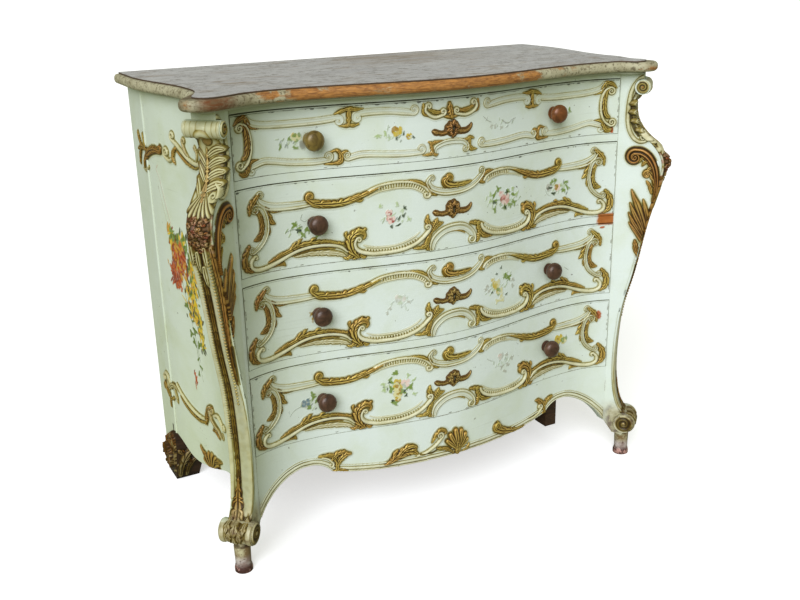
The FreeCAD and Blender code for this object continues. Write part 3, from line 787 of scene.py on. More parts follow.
def painted(name, ground, cool, warm, gold, edge_wear=0.6):
    """Old distemper paint with cream lips, gilding under a brown glaze and painted flowers, with painted
    shade and highlights on the carving and in the corners.
    """
    s = Shader(name)
    # The third mask carries glaze in the hollows, and painted shade at the edges and grooves of the carved
    # leaves.
    gilt, creamy, glaze = s.channels("masks")
    cover, rubbed, toned = s.channels("covers")
    base, streak = distemper(s, ground, cool, warm)
    petals = s.times(cover, s.ramp(s.noise(160.0, 2.0), (0.3, 0.85), (0.6, 1.0)))
    base = s.mix(petals, base, s.attribute("paint"))
    cream_cloud = s.noise(45.0, 3.0)
    cream = s.over(colour(226, 222, 186), colour(202, 196, 148), cream_cloud, (0.4, 0.0), (0.7, 1.0))
    # Cream lips, fuller on high places: rubbed, and partly a painted highlight.
    base = s.mix(s.times(creamy, s.math("ADD", s.times(rubbed, 0.4), 0.5)), base, cream)
    x = s.position()[0]
    # Left end of the drawers, next to the left console: painted shade there, and russet gilding.
    left_end = s.times(s.span(x, -0.30, -0.462), s.span(x, -0.4725, -0.4705))
    leafed = s.times(gilt, s.math("SUBTRACT", 1.0, s.times(cover, 0.75)))
    base = s.mix(leafed, base, leafing(s, gold, rubbed, toned, left_end))
    base = shade_and_wear(s, base, left_end)
    base = shade_and_glaze(s, base, glaze)
    worn = s.times(s.edge(0.0022), s.ramp(s.noise(26.0, 6.0, 0.68), (0.52, 0.0), (0.6, edge_wear)))
    base = s.mix(worn, base, s.mix(s.noise(60.0, 3.0), colour(120, 72, 36), colour(50, 34, 20)))
    rough = s.ramp(s.noise(40.0, 4.0), (0.3, 0.36), (0.7, 0.52))
    relief = s.math("ADD", s.noise(55.0, 6.0, 0.7), s.times(streak, 0.6))
    s.set(color=base, rough=rough, metal=s.times(gilt, 0.35), spec=0.35,
          normal=s.bump(relief, 0.0006, 0.5))
    return s.material


def top_nose(s, x, y):
    """Cream paint of the nose, rubbed down to orange wood along the middle of the front."""
    cloud = s.noise(20.0, 4.0)
    paint = s.over(colour(198, 193, 163), colour(168, 161, 130), cloud, (0.35, 0.0), (0.65, 1.0))
    paint = s.over(paint, colour(104, 92, 68), s.noise(150.0, 4.0, 0.7), (0.5, 0.0), (0.62, 0.85))
    fibre = s.noise(5.0, 7.0, 0.7, s.stretched((9.0, 9.0, 60.0)), 0.8)
    wood = s.over(colour(134, 84, 42), colour(196, 136, 70), fibre, (0.38, 0.0), (0.6, 1.0))
    worn = s.noise(9.0, 7.0, 0.68, s.stretched((1.6, 1.6, 5.0)), 0.4)
    middle = s.times(s.span(x, -0.46, -0.20), s.span(x, 0.34, 0.06))
    front = s.span(y, -0.17, -0.21)
    bare = s.times(s.math("ADD", s.times(middle, 0.26), worn), front)
    shade = s.over(paint, wood, bare, (0.56, 0.0), (0.66, 0.95))
    ear = s.times(s.span(x, -0.40, -0.50), s.ramp(s.noise(26.0, 5.0, 0.7), (0.4, 0.25), (0.6, 0.85)))
    shade = s.mix(s.times(ear, front), shade, colour(106, 92, 66))
    patch = s.times(s.span(x, -0.55, -0.53), s.span(x, -0.46, -0.49))
    russet = s.times(s.times(patch, front), s.ramp(fibre, (0.4, 0.3), (0.6, 0.95)))
    return s.mix(russet, shade, colour(122, 70, 38))


def top_field(s, x, y, streak, fine_grain):
    """Grey paint of the field, rubbed in long streaks, pitted, and stained behind the middle."""
    base = s.over(colour(189, 187, 190), colour(211, 210, 210), streak, (0.36, 0.0), (0.62, 1.0))
    base = s.over(base, colour(144, 137, 130), fine_grain, (0.56, 0.0), (0.74, 0.6))
    base = s.over(base, colour(216, 215, 213), s.noise(7.0, 7.0, 0.7), (0.55, 0.0), (0.68, 0.5))
    pits = s.noise(70.0, 6.0, 0.8, s.stretched((0.7, 1.0, 1.0)))
    base = s.over(base, colour(120, 113, 104), pits, (0.5, 0.0), (0.63, 0.75))
    tarnish = s.noise(11.0, 6.0, 0.7, s.stretched((0.8, 1.6, 1.0)), 0.5)
    base = s.over(base, colour(150, 128, 104), tarnish, (0.54, 0.0), (0.68, 0.6))
    behind = s.times(s.times(s.span(y, 0.02, 0.1), s.span(x, 0.36, 0.12)), s.span(x, -0.1, 0.05))
    stained = s.times(behind, s.ramp(streak, (0.4, 0.0), (0.6, 0.7)))
    return s.mix(stained, base, colour(146, 124, 98))


def top_paint():
    """Grey field, a dark quirk round it, a worn nose and a painted cove."""
    s = Shader("top_paint")
    x, y, z = s.position()
    long_grain = s.stretched((2.2, 34.0, 34.0))
    streak = s.noise(1.6, 8.0, 0.68, long_grain, 0.3)
    fine_grain = s.noise(6.0, 6.0, 0.7, long_grain)
    base = top_field(s, x, y, streak, fine_grain)
    edge = s.times(s.edge(0.003), s.ramp(s.noise(30.0, 5.0), (0.42, 0.0), (0.58, 0.6)))
    base = s.mix(edge, base, colour(120, 92, 62))
    quirk = s.mix(s.noise(60.0, 3.0), colour(66, 50, 38), colour(104, 84, 62))
    base = s.mix(s.span(z, *quirk_level), base, quirk)
    base = s.mix(s.span(z, *nose_level), base, top_nose(s, x, y))
    cove = s.mix(s.noise(22.0, 4.0), colour(214, 220, 200), colour(196, 202, 176))
    base = s.mix(s.span(z, *cove_level), base, cove)
    # Painted shade in the creases of the top, such as under the nose.
    base = s.mix(s.times(s.crease(0.012), 0.85), base, colour(62, 50, 34))
    relief = s.math("ADD", streak, s.times(fine_grain, 0.7))
    rough = s.ramp(streak, (0.3, 0.5), (0.7, 0.66))
    s.set(color=base, rough=rough, spec=0.3, normal=s.bump(relief, 0.0008, 0.6))
    return s.material


def timber(name, light, dark, grain=(3.0, 40.0, 40.0), rough=0.6):
    """Bare wood with grain along x, or along another axis by its stretch."""
    s = Shader(name)
    rings = s.noise(2.0, 10.0, 0.74, s.stretched(grain), 0.6)
    pores = s.noise(9.0, 5.0, 0.7, s.stretched(grain))
    base = s.over(dark, light, rings, (0.36, 0.0), (0.64, 1.0))
    base = s.over(base, dark, pores, (0.55, 0.0), (0.72, 0.7))
    # Painted shade: the wood darkens in its corners.
    deep = tuple(c * 0.35 for c in dark[:3]) + (1.0,)
    base = s.mix(s.times(s.crease(0.02), 0.6), base, deep)
    s.set(color=base, rough=rough, spec=0.3, normal=s.bump(pores, 0.0005, 0.6))
    return s.material


def turned_wood(name, left, right, shine):
    """Waxed turned wood of the knobs: each side has its own (light, dark) pair."""
    s = Shader(name)
    turn = s.noise(38.0, 5.0, 0.6, warp=0.8)
    side = s.span(s.position()[0], -0.01, 0.01)
    light = s.mix(side, left[0], right[0])
    dark = s.mix(side, left[1], right[1])
    base = s.over(dark, light, turn, (0.32, 0.0), (0.68, 1.0))
    base = s.over(base, colour(52, 36, 24), s.noise(95.0, 3.0), (0.58, 0.0), (0.7, 0.5))
    s.set(color=base, rough=s.ramp(turn, (0.3, 0.28), (0.7, 0.42)), metal=shine, spec=0.5,
          normal=s.bump(turn, 0.0005, 0.4))
    return s.material


def peg_paint():
    """Front feet: olive cream above, grey lilac below and a dark worn rim on the floor."""
    s = Shader("foot_paint")
    z = s.position()[2]
    patches = s.noise(42.0, 5.0, 0.65)
    above = s.over(colour(128, 106, 72), colour(196, 190, 152), patches, (0.42, 0.0), (0.6, 1.0))
    below = s.over(colour(146, 126, 118), colour(196, 186, 180), patches, (0.4, 0.0), (0.6, 1.0))
    rim = s.over(colour(74, 46, 40), colour(192, 148, 138), patches, (0.5, 0.0), (0.56, 1.0))
    base = s.mix(s.span(z, 0.030, 0.044), below, above)
    base = s.mix(s.span(z, 0.022, 0.012), base, rim)
    base = s.over(base, colour(88, 66, 54), s.noise(130.0, 2.0), (0.62, 0.0), (0.68, 0.8))
    # Painted shade in the creases of the feet.
    base = s.mix(s.times(s.crease(0.012), 0.8), base, colour(60, 44, 32))
    s.set(color=base, rough=s.ramp(patches, (0.3, 0.45), (0.7, 0.62)), spec=0.3,
          normal=s.bump(patches, 0.0008, 0.6))
    return s.material


def iron():
    """Dark iron with rust in patches."""
    s = Shader("old_iron")
    rust = s.noise(60.0, 5.0, 0.65)
    base = s.over(colour(66, 60, 56), colour(104, 70, 46), rust, (0.42, 0.0), (0.68, 1.0))
    s.set(color=base, metal=0.75, rough=s.ramp(rust, (0.3, 0.38), (0.7, 0.7)),
          normal=s.bump(rust, 0.0004, 0.6))
    return s.material


old_bronze = (colour(128, 104, 72), colour(78, 54, 38), colour(38, 26, 20))
gilding = (colour(214, 192, 104), colour(106, 86, 28), colour(46, 34, 8))
bronzed = (colour(170, 146, 84), colour(114, 92, 44), colour(56, 42, 20))
celadon = painted("celadon_paint", colour(224, 234, 226),
                  colour(227, 237, 233), colour(214, 224, 203), gilding)
bronze = painted("gilt_bronze", colour(122, 92, 48), colour(112, 86, 46), colour(80, 58, 32), bronzed)
foot_paint = peg_paint()
dark_relief = painted("dark_relief", colour(74, 54, 42),
                      colour(60, 44, 36), colour(50, 36, 28), old_bronze, 0.9)
top_finish = top_paint()
softwood = timber("softwood", colour(172, 134, 88), colour(120, 84, 50))
boards = timber("back_boards_wood", colour(150, 116, 78), colour(98, 70, 44))
# Dark wood of the apron block and rear feet, made darker to match the shade the rear feet stand in: partly
# the wood's own colour, partly painted shade.
dark_wood = timber("dark_wood", colour(72, 50, 34), colour(36, 26, 20), (12.0, 12.0, 60.0), 0.5)
walnut = (colour(102, 72, 54), colour(52, 36, 28))
olive_brass = (colour(150, 128, 64), colour(84, 68, 34))
amber_wood = (colour(150, 90, 44), colour(88, 52, 26))
knob_finishes = {1: turned_wood("knob_brass", olive_brass, amber_wood, 0.15),
                 2: turned_wood("knob_walnut", walnut, walnut, 0.12)}
old_iron = iron()

finishes = {
    "top": top_finish, "back_boards": boards, "bottom_front_rail": softwood, "top_back_rail": softwood,
    "bottom_back_rail": softwood, "drawer_runners": softwood, "drawer_stops": softwood,
    "apron_block": dark_wood, "left_front_foot": foot_paint, "right_front_foot": foot_paint,
    "left_rear_foot": dark_wood, "right_rear_foot": dark_wood, "top_screws": old_iron,
}
drawer_finishes = {"left_side": softwood, "right_side": softwood, "back": softwood, "bottom": softwood,
                   "escutcheon": bronze, "lock": old_iron, "bolt": old_iron}


def dress_nodes():
    """Gives every node of the CAD model its material."""
    for number in drawer_bottoms:
        for part, material in drawer_finishes.items():
            finishes["drawer_%d_%s" % (number, part)] = material
        finishes["drawer_%d_knobs" % number] = knob_finishes[min(number, 2)]
    for key, piece in nodes.items():
        piece.data.materials.clear()
        piece.data.materials.append(finishes.get(key, celadon))


dress_nodes()


# Carving of the drawer fronts, with v above the drawer's lower edge

def end_scrolls(p):
    """Upright C scroll at the end of a large drawer, with its gilt leaves and clasps."""
    p.leaf([(-427, 128, 3), (-418, 120, 5), (-414, 100, 5.5), (-416, 84, 6), (-424, 74, 6.5),
            (-434, 71, 2)], 2.6, 5, 1)
    p.band(scroll([(-424, 138, 4.5), (-412, 132, 5), (-405, 115, 5), (-403, 97, 5), (-406, 80, 5),
                   (-413, 66, 4.5), (-425, 54, 4), (-437, 47, 3.5)], (7, 1, 1.3), (6, -1, 1.2)), 4.2, 1)
    p.leaf([(-402, 126, 3), (-397, 113, 6), (-393, 103, 5.5), (-385, 97, 1.5)], 3.4, 3)
    p.leaf([(-400, 94, 2), (-398, 85, 3.2), (-399, 76, 1)], 2.4, 2)
    p.leaf([(-404, 133, 3), (-390, 124, 4), (-370, 120, 1)], 2.6, 2)
    p.leaf([(-441, 124, 2), (-438, 138, 6), (-429, 150, 7.5), (-418, 161, 3)], 4.4, 4)
    p.leaf([(-447, 62, 3), (-455, 50, 6.5), (-460, 35, 7.5), (-457, 20, 7), (-447, 11, 4), (-437, 8, 1)],
           4.6, 5)


def upper_sweep(p):
    """Hollow band from the end scroll to the gilt S leaf above the bouquets."""
    p.band(scroll([(-420, 158, 3), (-419, 150, 5), (-411, 141, 7), (-398, 134, 8), (-380, 130, 8),
                   (-350, 128.5, 7.5), (-320, 129, 6.5), (-298, 130, 3)], (6.5, -1, 1.3)), 3.6, -1)
    p.leaf(scroll([(-313, 137, 6), (-300, 128, 8.5), (-280, 125, 9), (-260, 124, 9), (-240, 125, 8.5),
                   (-222, 129, 7.5), (-205, 135, 6.5), (-188, 141, 4.5), (-170, 148, 2.6),
                   (-152, 153, 1)], (7.5, -1, 1.2)), 5.0, 7, 1, 1.4)
    p.leaf([(-216, 128, 3), (-207, 125, 3.5), (-198, 127, 1)], 3.0, 1)


def arch(p, outer, inner, flutes, end=None):
    """Pearled arch over a bouquet."""
    p.bead(scroll(outer, None, end), 3.2)
    p.bead(inner, 1.8)
    p.flutes(flutes, 5.6, 1.7)


def lower_sweep(p):
    """Long S leaf along the bottom, from the end scroll to the curled acanthus."""
    p.leaf([(-404, 20, 2), (-380, 29, 4.5), (-358, 37, 6), (-342, 43, 6.5), (-325, 46, 6),
            (-305, 47, 5.5), (-285, 46, 4.5), (-265, 43, 4), (-244, 38, 3)], 3.6, 8, 1, 1.2)
    p.leaf([(-352, 41, 2), (-348, 49, 3), (-342, 54, 1)], 3.6, 1)
    p.leaf([(-341, 45, 2.5), (-336, 54, 3.2), (-329, 58, 1)], 4.0, 1)
    p.leaf([(-312, 50, 2), (-306, 55, 2.6), (-300, 55, 1)], 3.4, 1)
    p.leaf([(-352, 24, 1.5), (-330, 30, 2.8), (-305, 32.5, 3.2), (-280, 32.5, 3.2), (-262, 31, 2.6)], 2.4)
    p.leaf([(-346, 22, 2), (-320, 25, 5), (-295, 24, 6.5), (-270, 21, 7), (-250, 16, 5.5), (-239, 10, 2)],
           2.8, 8, -1, 1.2, 0.12)
    p.leaf([(-396, 9, 1.5), (-382, 12, 3.4), (-373, 12, 4), (-368, 7, 1.5)], 3.2, 2)
    p.bead(scroll([(-437, 38, 3), (-445, 28, 3.6), (-443, 16, 4), (-430, 9.5, 4.4), (-412, 10, 4.4),
                   (-395, 14, 4.4), (-376, 20.5, 4), (-358, 28, 4), (-340, 34, 3.8), (-320, 38, 3.8),
                   (-300, 39.5, 3.8), (-280, 39, 3.8), (-262, 36, 3.8), (-247, 30, 3.4), (-236, 20, 2)],
                  (5, -1, 0.8)), 4.4)


def curled_acanthus(p):
    """The big curled leaf where the lower S leaf meets the lower arc."""
    for shape in ([(-222, 14, 6), (-236, 6, 4.5), (-244, 8, 1.5)],
                  [(-216, 10, 6), (-222, 3, 4), (-227, 1, 1)],
                  [(-212, 12, 5.5), (-203, 5, 4.5), (-196, 7, 1)],
                  [(-231, 44, 5), (-238, 56, 4), (-235, 63, 1)],
                  [(-217, 55, 5), (-212, 65, 4), (-206, 68, 1)],
                  [(-205, 56, 5), (-198, 64, 3.6), (-194, 62, 1)]):
        p.leaf(shape, 4.4, 2)
    p.leaf([(-214, 6, 4), (-224, 17, 9), (-230, 34, 10.5), (-227, 49, 10.5), (-217, 58, 9), (-206, 60, 7),
            (-199, 53, 4.5), (-201, 44, 2)], 6.2, 7, 1, 1.6)


def lower_arc(p, inner_end, side):
    """Pearled arc below a bouquet; inner_end is its stretch towards the centre."""
    p.bead(scroll([(-216, 45, 3), (-220, 36, 4), (-218, 25, 4.4), (-209, 17, 4.6), (-196, 12.5, 4.6),
                   (-178, 9.5, 4.4), (-152, 9.5, 4.2)] + inner_end, (5.5, -1, 1.3), side), 5.0)
    p.bead([(-202, 30, 1), (-185, 24, 1.4), (-160, 22, 1.4), (-135, 23, 1.4), (-112, 28, 1.4),
            (-92, 37, 1.4), (-80, 46, 1)], 1.6)
    p.flutes([(-196, 20, 3), (-178, 16, 3.4), (-150, 15.5, 3.4), (-124, 17.5, 3.4), (-104, 23, 3.4),
              (-88, 31, 3)], 6.2, 1.8)


def centre_garland(p):
    """Scroll garland at the top centre with its gilt comma leaf."""
    p.band(scroll([(-54, 160, 3), (-60, 151, 4.5), (-55, 139, 6), (-42, 131, 6.5), (-22, 126, 7), (0, 125, 7),
                   (22, 126.5, 7), (42, 131, 6.5), (58, 139, 6), (70, 149, 5), (77, 157, 3.5)],
                  (4.5, -1, 1.2), (5.5, 1, 1.2)), 4.0, -1)
    p.leaf(scroll([(-15, 157, 6), (-21, 148, 8.5), (-13, 140, 9), (0, 137.5, 7), (18, 137.5, 5.5),
                   (34, 139.5, 4), (45, 142, 1.5)], (6, -1, 1.2)), 5.4, 4, -1)
    for shape in ([(-62, 141, 5), (-78, 151, 5), (-92, 156, 3), (-106, 159, 1)],
                  [(-61, 139, 5), (-54, 128, 5), (-40, 121, 1.5)],
                  [(77, 150, 4), (88, 156, 4.5), (106, 157, 1)],
                  [(75, 144, 3), (72, 137, 4.5), (82, 133, 1.5)]):
        p.leaf(shape, 3.8, 3)


def centre_arch(p):
    """Scroll arch at the bottom centre with gilt leaves at its feet."""
    p.band(scroll([(-54, 6, 6), (-49, 22, 7.5), (-38, 34, 8), (-22, 43, 8), (0, 47, 8), (20, 45.5, 8),
                   (36, 38, 8), (48, 26, 7.5), (52, 15, 6)], None, (5.5, -1, 1.2)), 4.4, 1)
    p.leaf([(-22, 35, 1), (-8, 39.5, 2.4), (8, 39.5, 2.8), (22, 34.5, 2.4), (29, 29, 1)], 2.6)
    for shape in ([(-55, 44, 6), (-60, 58, 8), (-63, 70, 5.5), (-61, 81, 1.5)],
                  [(-52, 48, 6), (-44, 61, 7), (-40, 70, 2)],
                  [(-49, 48, 5), (-38, 57, 5.5), (-26, 60, 1.5)],
                  [(-56, 46, 5), (-61, 30, 5.5), (-66, 18, 5.5), (-75, 12, 5), (-95, 11, 1)],
                  [(-65, 18, 5), (-63, 9, 5), (-58, 3, 1.5)], [(44, 50, 3), (60, 47, 5.5), (79, 43, 1.5)],
                  [(61, 46, 5), (66, 33, 6), (73, 21, 6.5), (86, 14, 5), (107, 10, 1)],
                  [(67, 24, 5), (64, 12, 5.5), (61, 4, 1.5)]):
        p.leaf(shape, 4.2, 4)


def large_drawer_relief():
    """Relief that the three large drawers share."""
    p = Patch(-468, 468, 1, 175)
    for p.flip in (1.0, -1.0):
        end_scrolls(p)
        upper_sweep(p)
        lower_sweep(p)
        curled_acanthus(p)
    p.flip = 1.0
    arch(p, [(-196, 140, 1.6), (-180, 148, 2), (-160, 154, 2.3), (-130, 157, 2.5), (-100, 155, 2.7),
             (-80, 149, 3), (-66, 140, 3.2), (-57, 130, 3.2)],
         [(-190, 131, 1), (-170, 139, 1.3), (-150, 143, 1.5), (-120, 145, 1.6), (-95, 142, 1.6),
          (-78, 134, 1.6), (-68, 127, 1.4)],
         [(-165, 146, 4), (-130, 151, 4.6), (-100, 149.5, 4.6), (-82, 142, 4.4), (-68, 131, 4)], (8, -1, 1.2))
    lower_arc(p, [(-125, 11.5, 4.2), (-103, 16.5, 4.2), (-86, 24, 4.2), (-72, 34, 4.2), (-61, 45, 4.2),
                  (-57, 52, 3.6)], (6, 1, 1.2))
    p.flip = -1.0
    arch(p, [(-80, 138, 2.6), (-88, 147, 2.7), (-104, 153, 2.5), (-130, 155, 2.3), (-155, 153, 2),
             (-178, 147, 1.8), (-196, 140, 1.5)],
         [(-90, 134, 1.2), (-105, 141, 1.5), (-130, 144, 1.5), (-150, 142, 1.4), (-170, 138, 1.2),
          (-190, 131, 1)], [(-94, 142, 3.6), (-110, 147.5, 4.2), (-130, 149.5, 4.2), (-152, 147.5, 4)])
    lower_arc(p, [(-130, 11.5, 4.2), (-106, 16, 4.2), (-89, 23, 4.2), (-77, 33, 4), (-72, 43, 3)], None)
    p.flip = 1.0
    centre_garland(p)
    centre_arch(p)
    return p


def small_end(p):
    """Leaf, bead and corner leaves at one end of the uppermost drawer."""
    p.leaf([(-444, 104, 4), (-437, 96, 6.5), (-434, 80, 7.5), (-434, 62, 7.5), (-438, 46, 6.5),
            (-446, 38, 4)], 4.6, 6, 1)
    p.bead(scroll([(-446, 106, 2.5), (-436, 101, 2.8), (-429, 88, 2.8), (-426, 68, 2.8), (-428, 48, 2.8),
                   (-436, 30, 2.8), (-448, 20, 2.8)], (9, 1, 1.5), (9, -1, 1.5)), 4.2)
    p.leaf([(-462, 105, 1.5), (-450, 114, 5), (-438, 117, 6), (-430, 104, 5), (-424, 96, 3),
            (-407, 92, 1)], 3.2, 4)
    p.leaf([(-456, 12, 2), (-446, 8, 5), (-439, 12, 6), (-432, 26, 4.5), (-424, 32, 3), (-412, 33, 1)],
           3.2, 4)


def small_mouldings(p):
    """Flat mouldings and gilt clasps of one half of the uppermost drawer."""
    upper = [(-420, 103, 6.5), (-400, 98.5, 6.5), (-370, 96.5, 6.5), (-330, 96, 6.5), (-290, 96.5, 6.5),
             (-258, 99, 6.5), (-244, 101, 5.5)]
    inner_upper = [(-206, 105, 6.5), (-180, 107.5, 6.5), (-140, 107, 6.5), (-110, 103.5, 6.5),
                   (-90, 100, 5.5)]
    lower = [(-418, 24, 6), (-400, 28, 6), (-380, 26, 6), (-350, 20.5, 6), (-320, 17.5, 6), (-290, 16.5, 6),
             (-266, 18, 5)]
    inner_lower = [(-226, 18, 5.5), (-205, 23, 6), (-185, 23.5, 6), (-150, 20.5, 6), (-110, 18.5, 6),
                   (-74, 18.5, 5)]
    p.band(scroll([(-433, 116, 4), (-430, 110, 5.5)] + upper, None, (7, -1, 1.2)), 2.6, -1, 0.35)
    p.band(scroll(inner_upper, (7, 1, 1.2), (7, 1, 1.1)), 2.6, -1, 0.35)
    p.band(scroll([(-432, 16, 4), (-428, 20, 5)] + lower, (6, 1, 1.0), (7, 1, 1.2)), 2.6, -1, 0.35)
    p.band(scroll(inner_lower, (6, -1, 1.0), (7, 1, 1.2)), 2.6, -1, 0.35)
    p.leaf([(-250, 108, 1.5), (-236, 113, 4), (-222, 116, 5.5), (-206, 114, 3.5), (-192, 116, 1)], 4.4, 3)
    p.leaf([(-222, 114, 6), (-222, 102, 5), (-223, 90, 4.5), (-224, 84, 3)], 4.0, 2)
    p.leaf([(-242, 84, 1.5), (-232, 83, 3), (-222, 84, 4), (-212, 83, 3), (-203, 85, 1.5)], 3.4, 2)
    p.leaf([(-262, 33, 1.5), (-250, 36, 2.5), (-243, 30, 5), (-240, 20, 6), (-244, 12, 5), (-256, 10, 3),
            (-276, 10, 1)], 4.0, 4)
    p.leaf([(-242, 26, 4), (-234, 31, 3.4), (-226, 33, 1)], 3.4, 1)


def small_middle(p):
    """Scrolls round the keyhole of the uppermost drawer, and the gilt drop above it."""
    for side, inside, outside in ((1.0, -20, -62), (-1.0, -4, -56)):
        p.flip = side
        p.bead(scroll([(outside, 112, 3), (outside - 2, 102, 3.2), (outside + 8, 92, 3.2),
                       ((outside + inside) / 2, 87, 3.2), (inside - 3, 91, 3.2)], (6, -1, 1.2),
                      (6.5, 1, 1.3)), 4.0)
        p.leaf([(outside + 6, 104, 3), ((outside + inside) / 2, 97, 4.6), (inside - 5, 98, 3)], 3.0, 3)
        p.leaf([(outside - 6, 117, 1.5), (outside - 6, 106, 4), (outside - 4, 96, 3.5),
                (outside + 10, 89, 1)], 3.2, 3)
    p.flip = 1.0
    p.leaf([(-9, 113, 4), (-8, 102, 7.5), (-6, 92, 7), (-4, 84, 3)], 5.6, 3)
    p.leaf([(-24, 88, 1), (-8, 86, 4), (14, 87, 1)], 4.4, 2)
    p.band(scroll([(-45, 16, 3.4), (-40, 26, 4.6), (-22, 33, 5), (0, 34.5, 5), (20, 32.5, 5), (32, 26, 4.6),
                   (35, 18, 3.6)], (6, -1, 1.1), (5, -1, 1.2)), 3.6, 1, 0.3)
    for shape in ([(-58, 38, 1.5), (-50, 34, 4), (-44, 36, 3.5), (-24, 38, 1)],
                  [(-52, 30, 3), (-50, 20, 4.5), (-54, 13, 4), (-72, 11, 1)],
                  [(-50, 16, 4), (-42, 10, 3), (-36, 11, 1)],
                  [(20, 36, 1), (34, 35, 3), (42, 38, 4), (52, 36, 1.5)],
                  [(40, 34, 4), (40, 22, 5), (46, 14, 4.5), (60, 12, 1)]):
        p.leaf(shape, 3.6, 3)


def small_drawer_relief():
    """Relief of the uppermost drawer."""
    p = Patch(-468, 468, 1, 123)
    for p.flip in (1.0, -1.0):
        small_end(p)
    for p.flip in (1.0, -1.0):
        small_mouldings(p)
    small_middle(p)
    return p


# Painted flowers, generic sprays in the painter's usual colours

green = colour(122, 146, 62)
deep_green = colour(58, 74, 44)
pale_green = colour(176, 196, 140)
rose_pink = colour(216, 160, 150)
rose_deep = colour(168, 84, 76)
blush = colour(236, 208, 198)
yellow = colour(206, 182, 70)
ochre = colour(168, 132, 40)
pale_yellow = colour(222, 216, 160)
powder_blue = colour(110, 134, 148)
faded = colour(188, 190, 176)
sepia = colour(84, 70, 48)
# Black of the chips and of the painted gap shade along the drawers' top edges
soot_and_gap_shade = colour(34, 28, 22)
brick = colour(182, 92, 36)
bare_places = {1: (455, 8, 4, 10), 2: (436, 9, 9, 4), 3: (444, 168, 7, 3), 4: (445, 140, 8, 12)}
sprigs = {1: ((-346, 58, 16, 10, 0.6), (-128, 58, 20, 14, 0.55), (140, 60, 22, 8, 0.4)),
          2: ((-332, 76.5, 16, 16, 0.7), (-132, 82.5, 18, 20, 0.6), (142, 84.5, 30, 44, 0.65),
              (318, 86.5, 20, 26, 0.65)),
          3: ((122, 83, 22, 18, 0.6), (152, 103, 10, 8, 0.8), (-130, 87, 20, 10, 0.25)),
          4: ((-332, 85.5, 16, 16, 0.65), (-138, 85.5, 22, 34, 0.8), (142, 89.5, 22, 18, 0.4),
              (336, 93.5, 14, 10, 0.6))}


def rose(p, u, v, radius, light, mid, dark, strength, rng):
    """Rose of overlapping petals round a darker heart."""
    for k in range(9):
        turn = k * 2.4 + rng.uniform(-0.3, 0.3)
        reach = radius * (0.25 + 0.55 * (k % 3) / 2.0)
        tone = (light, mid, light, dark)[int(rng.integers(0, 4))]
        p.dab(u + reach * math.cos(turn), v + reach * math.sin(turn), radius * 0.5, radius * 0.34,
              math.degrees(turn) + 90, tone, min(strength + 0.15, 1.0))
    p.dab(u, v, radius * 0.25, radius * 0.2, 0, dark, strength)


def leaves(p, places, size, paint, strength, rng):
    """Four dabs of a leaf at each place."""
    for u, v in places:
        for _ in range(4):
            a = rng.uniform(0, 360)
            long = size * rng.uniform(0.8, 1.3)
            p.dab(u + 0.4 * size * math.cos(a), v + 0.4 * size * math.sin(a), long, size * 0.45,
                  math.degrees(a), paint, min(strength + 0.2, 1.0))


def strokes(p, rng, spine, spread, count, long, paints, lean, strength=1.0):
    """Crowd of brush strokes along a spine of (u, v) places, wider or narrower as the spread says."""
    line = curve([(u, v, w) for (u, v), w in zip(spine, spread)])
    for _ in range(count):
        u, v, w = line[int(rng.integers(0, len(line)))]
        p.dab(u + rng.normal(0, 0.5) * w, v + rng.normal(0, 6), long * rng.uniform(0.6, 1.3),
              long * rng.uniform(0.2, 0.42), lean + rng.normal(0, 28),
              paints[int(rng.integers(0, len(paints)))], strength)


def foliage(p, number):
    """Sprigs behind the flowers of one drawer, each given as (u, v, spread, count, strength)."""
    rng = np.random.default_rng(140 + number)
    greens = (green, pale_green, deep_green, pale_green)
    for u, v, spread, count, strength in sprigs[number]:
        spine = [(u - 0.7 * spread, v + 3), (u + 0.7 * spread, v - 3)]
        strokes(p, rng, spine, [spread, spread], count, 5.5, greens, 60, strength)


def first_flowers(p, rng):
    """Yellow roses and thin sprigs of the uppermost drawer."""
    leaves(p, [(-363, 52), (-333, 47), (-345, 67)], 5, green, 0.55, rng)
    rose(p, -332, 70, 11, pale_yellow, yellow, green, 0.7, rng)
    p.dab(-318, 52, 7, 10, 20, sepia, 0.6)
    rose(p, -127, 67, 12, yellow, yellow, ochre, 0.95, rng)
    rose(p, -101, 54, 7, yellow, pale_yellow, ochre, 0.85, rng)
    leaves(p, [(-165, 59), (-149, 62)], 5, pale_green, 0.7, rng)
    leaves(p, [(-111, 60), (-90, 51), (-126, 51)], 3.5, deep_green, 0.6, rng)
    p.brush([(78, 78, 0.8), (88, 69, 1), (100, 63, 0.8)], sepia, 0.6)
    p.brush([(90, 76, 0.7), (84, 67, 0.7)], sepia, 0.5)
    p.brush([(130, 65, 1), (141, 58, 1.3), (150, 56, 1), (163, 63, 1),
             (172, 64, 0.7)], sepia, 0.7)
    leaves(p, [(110, 53), (128, 49), (100, 55)], 4, faded, 0.5, rng)
    leaves(p, [(340, 63)], 6, green, 0.6, rng)


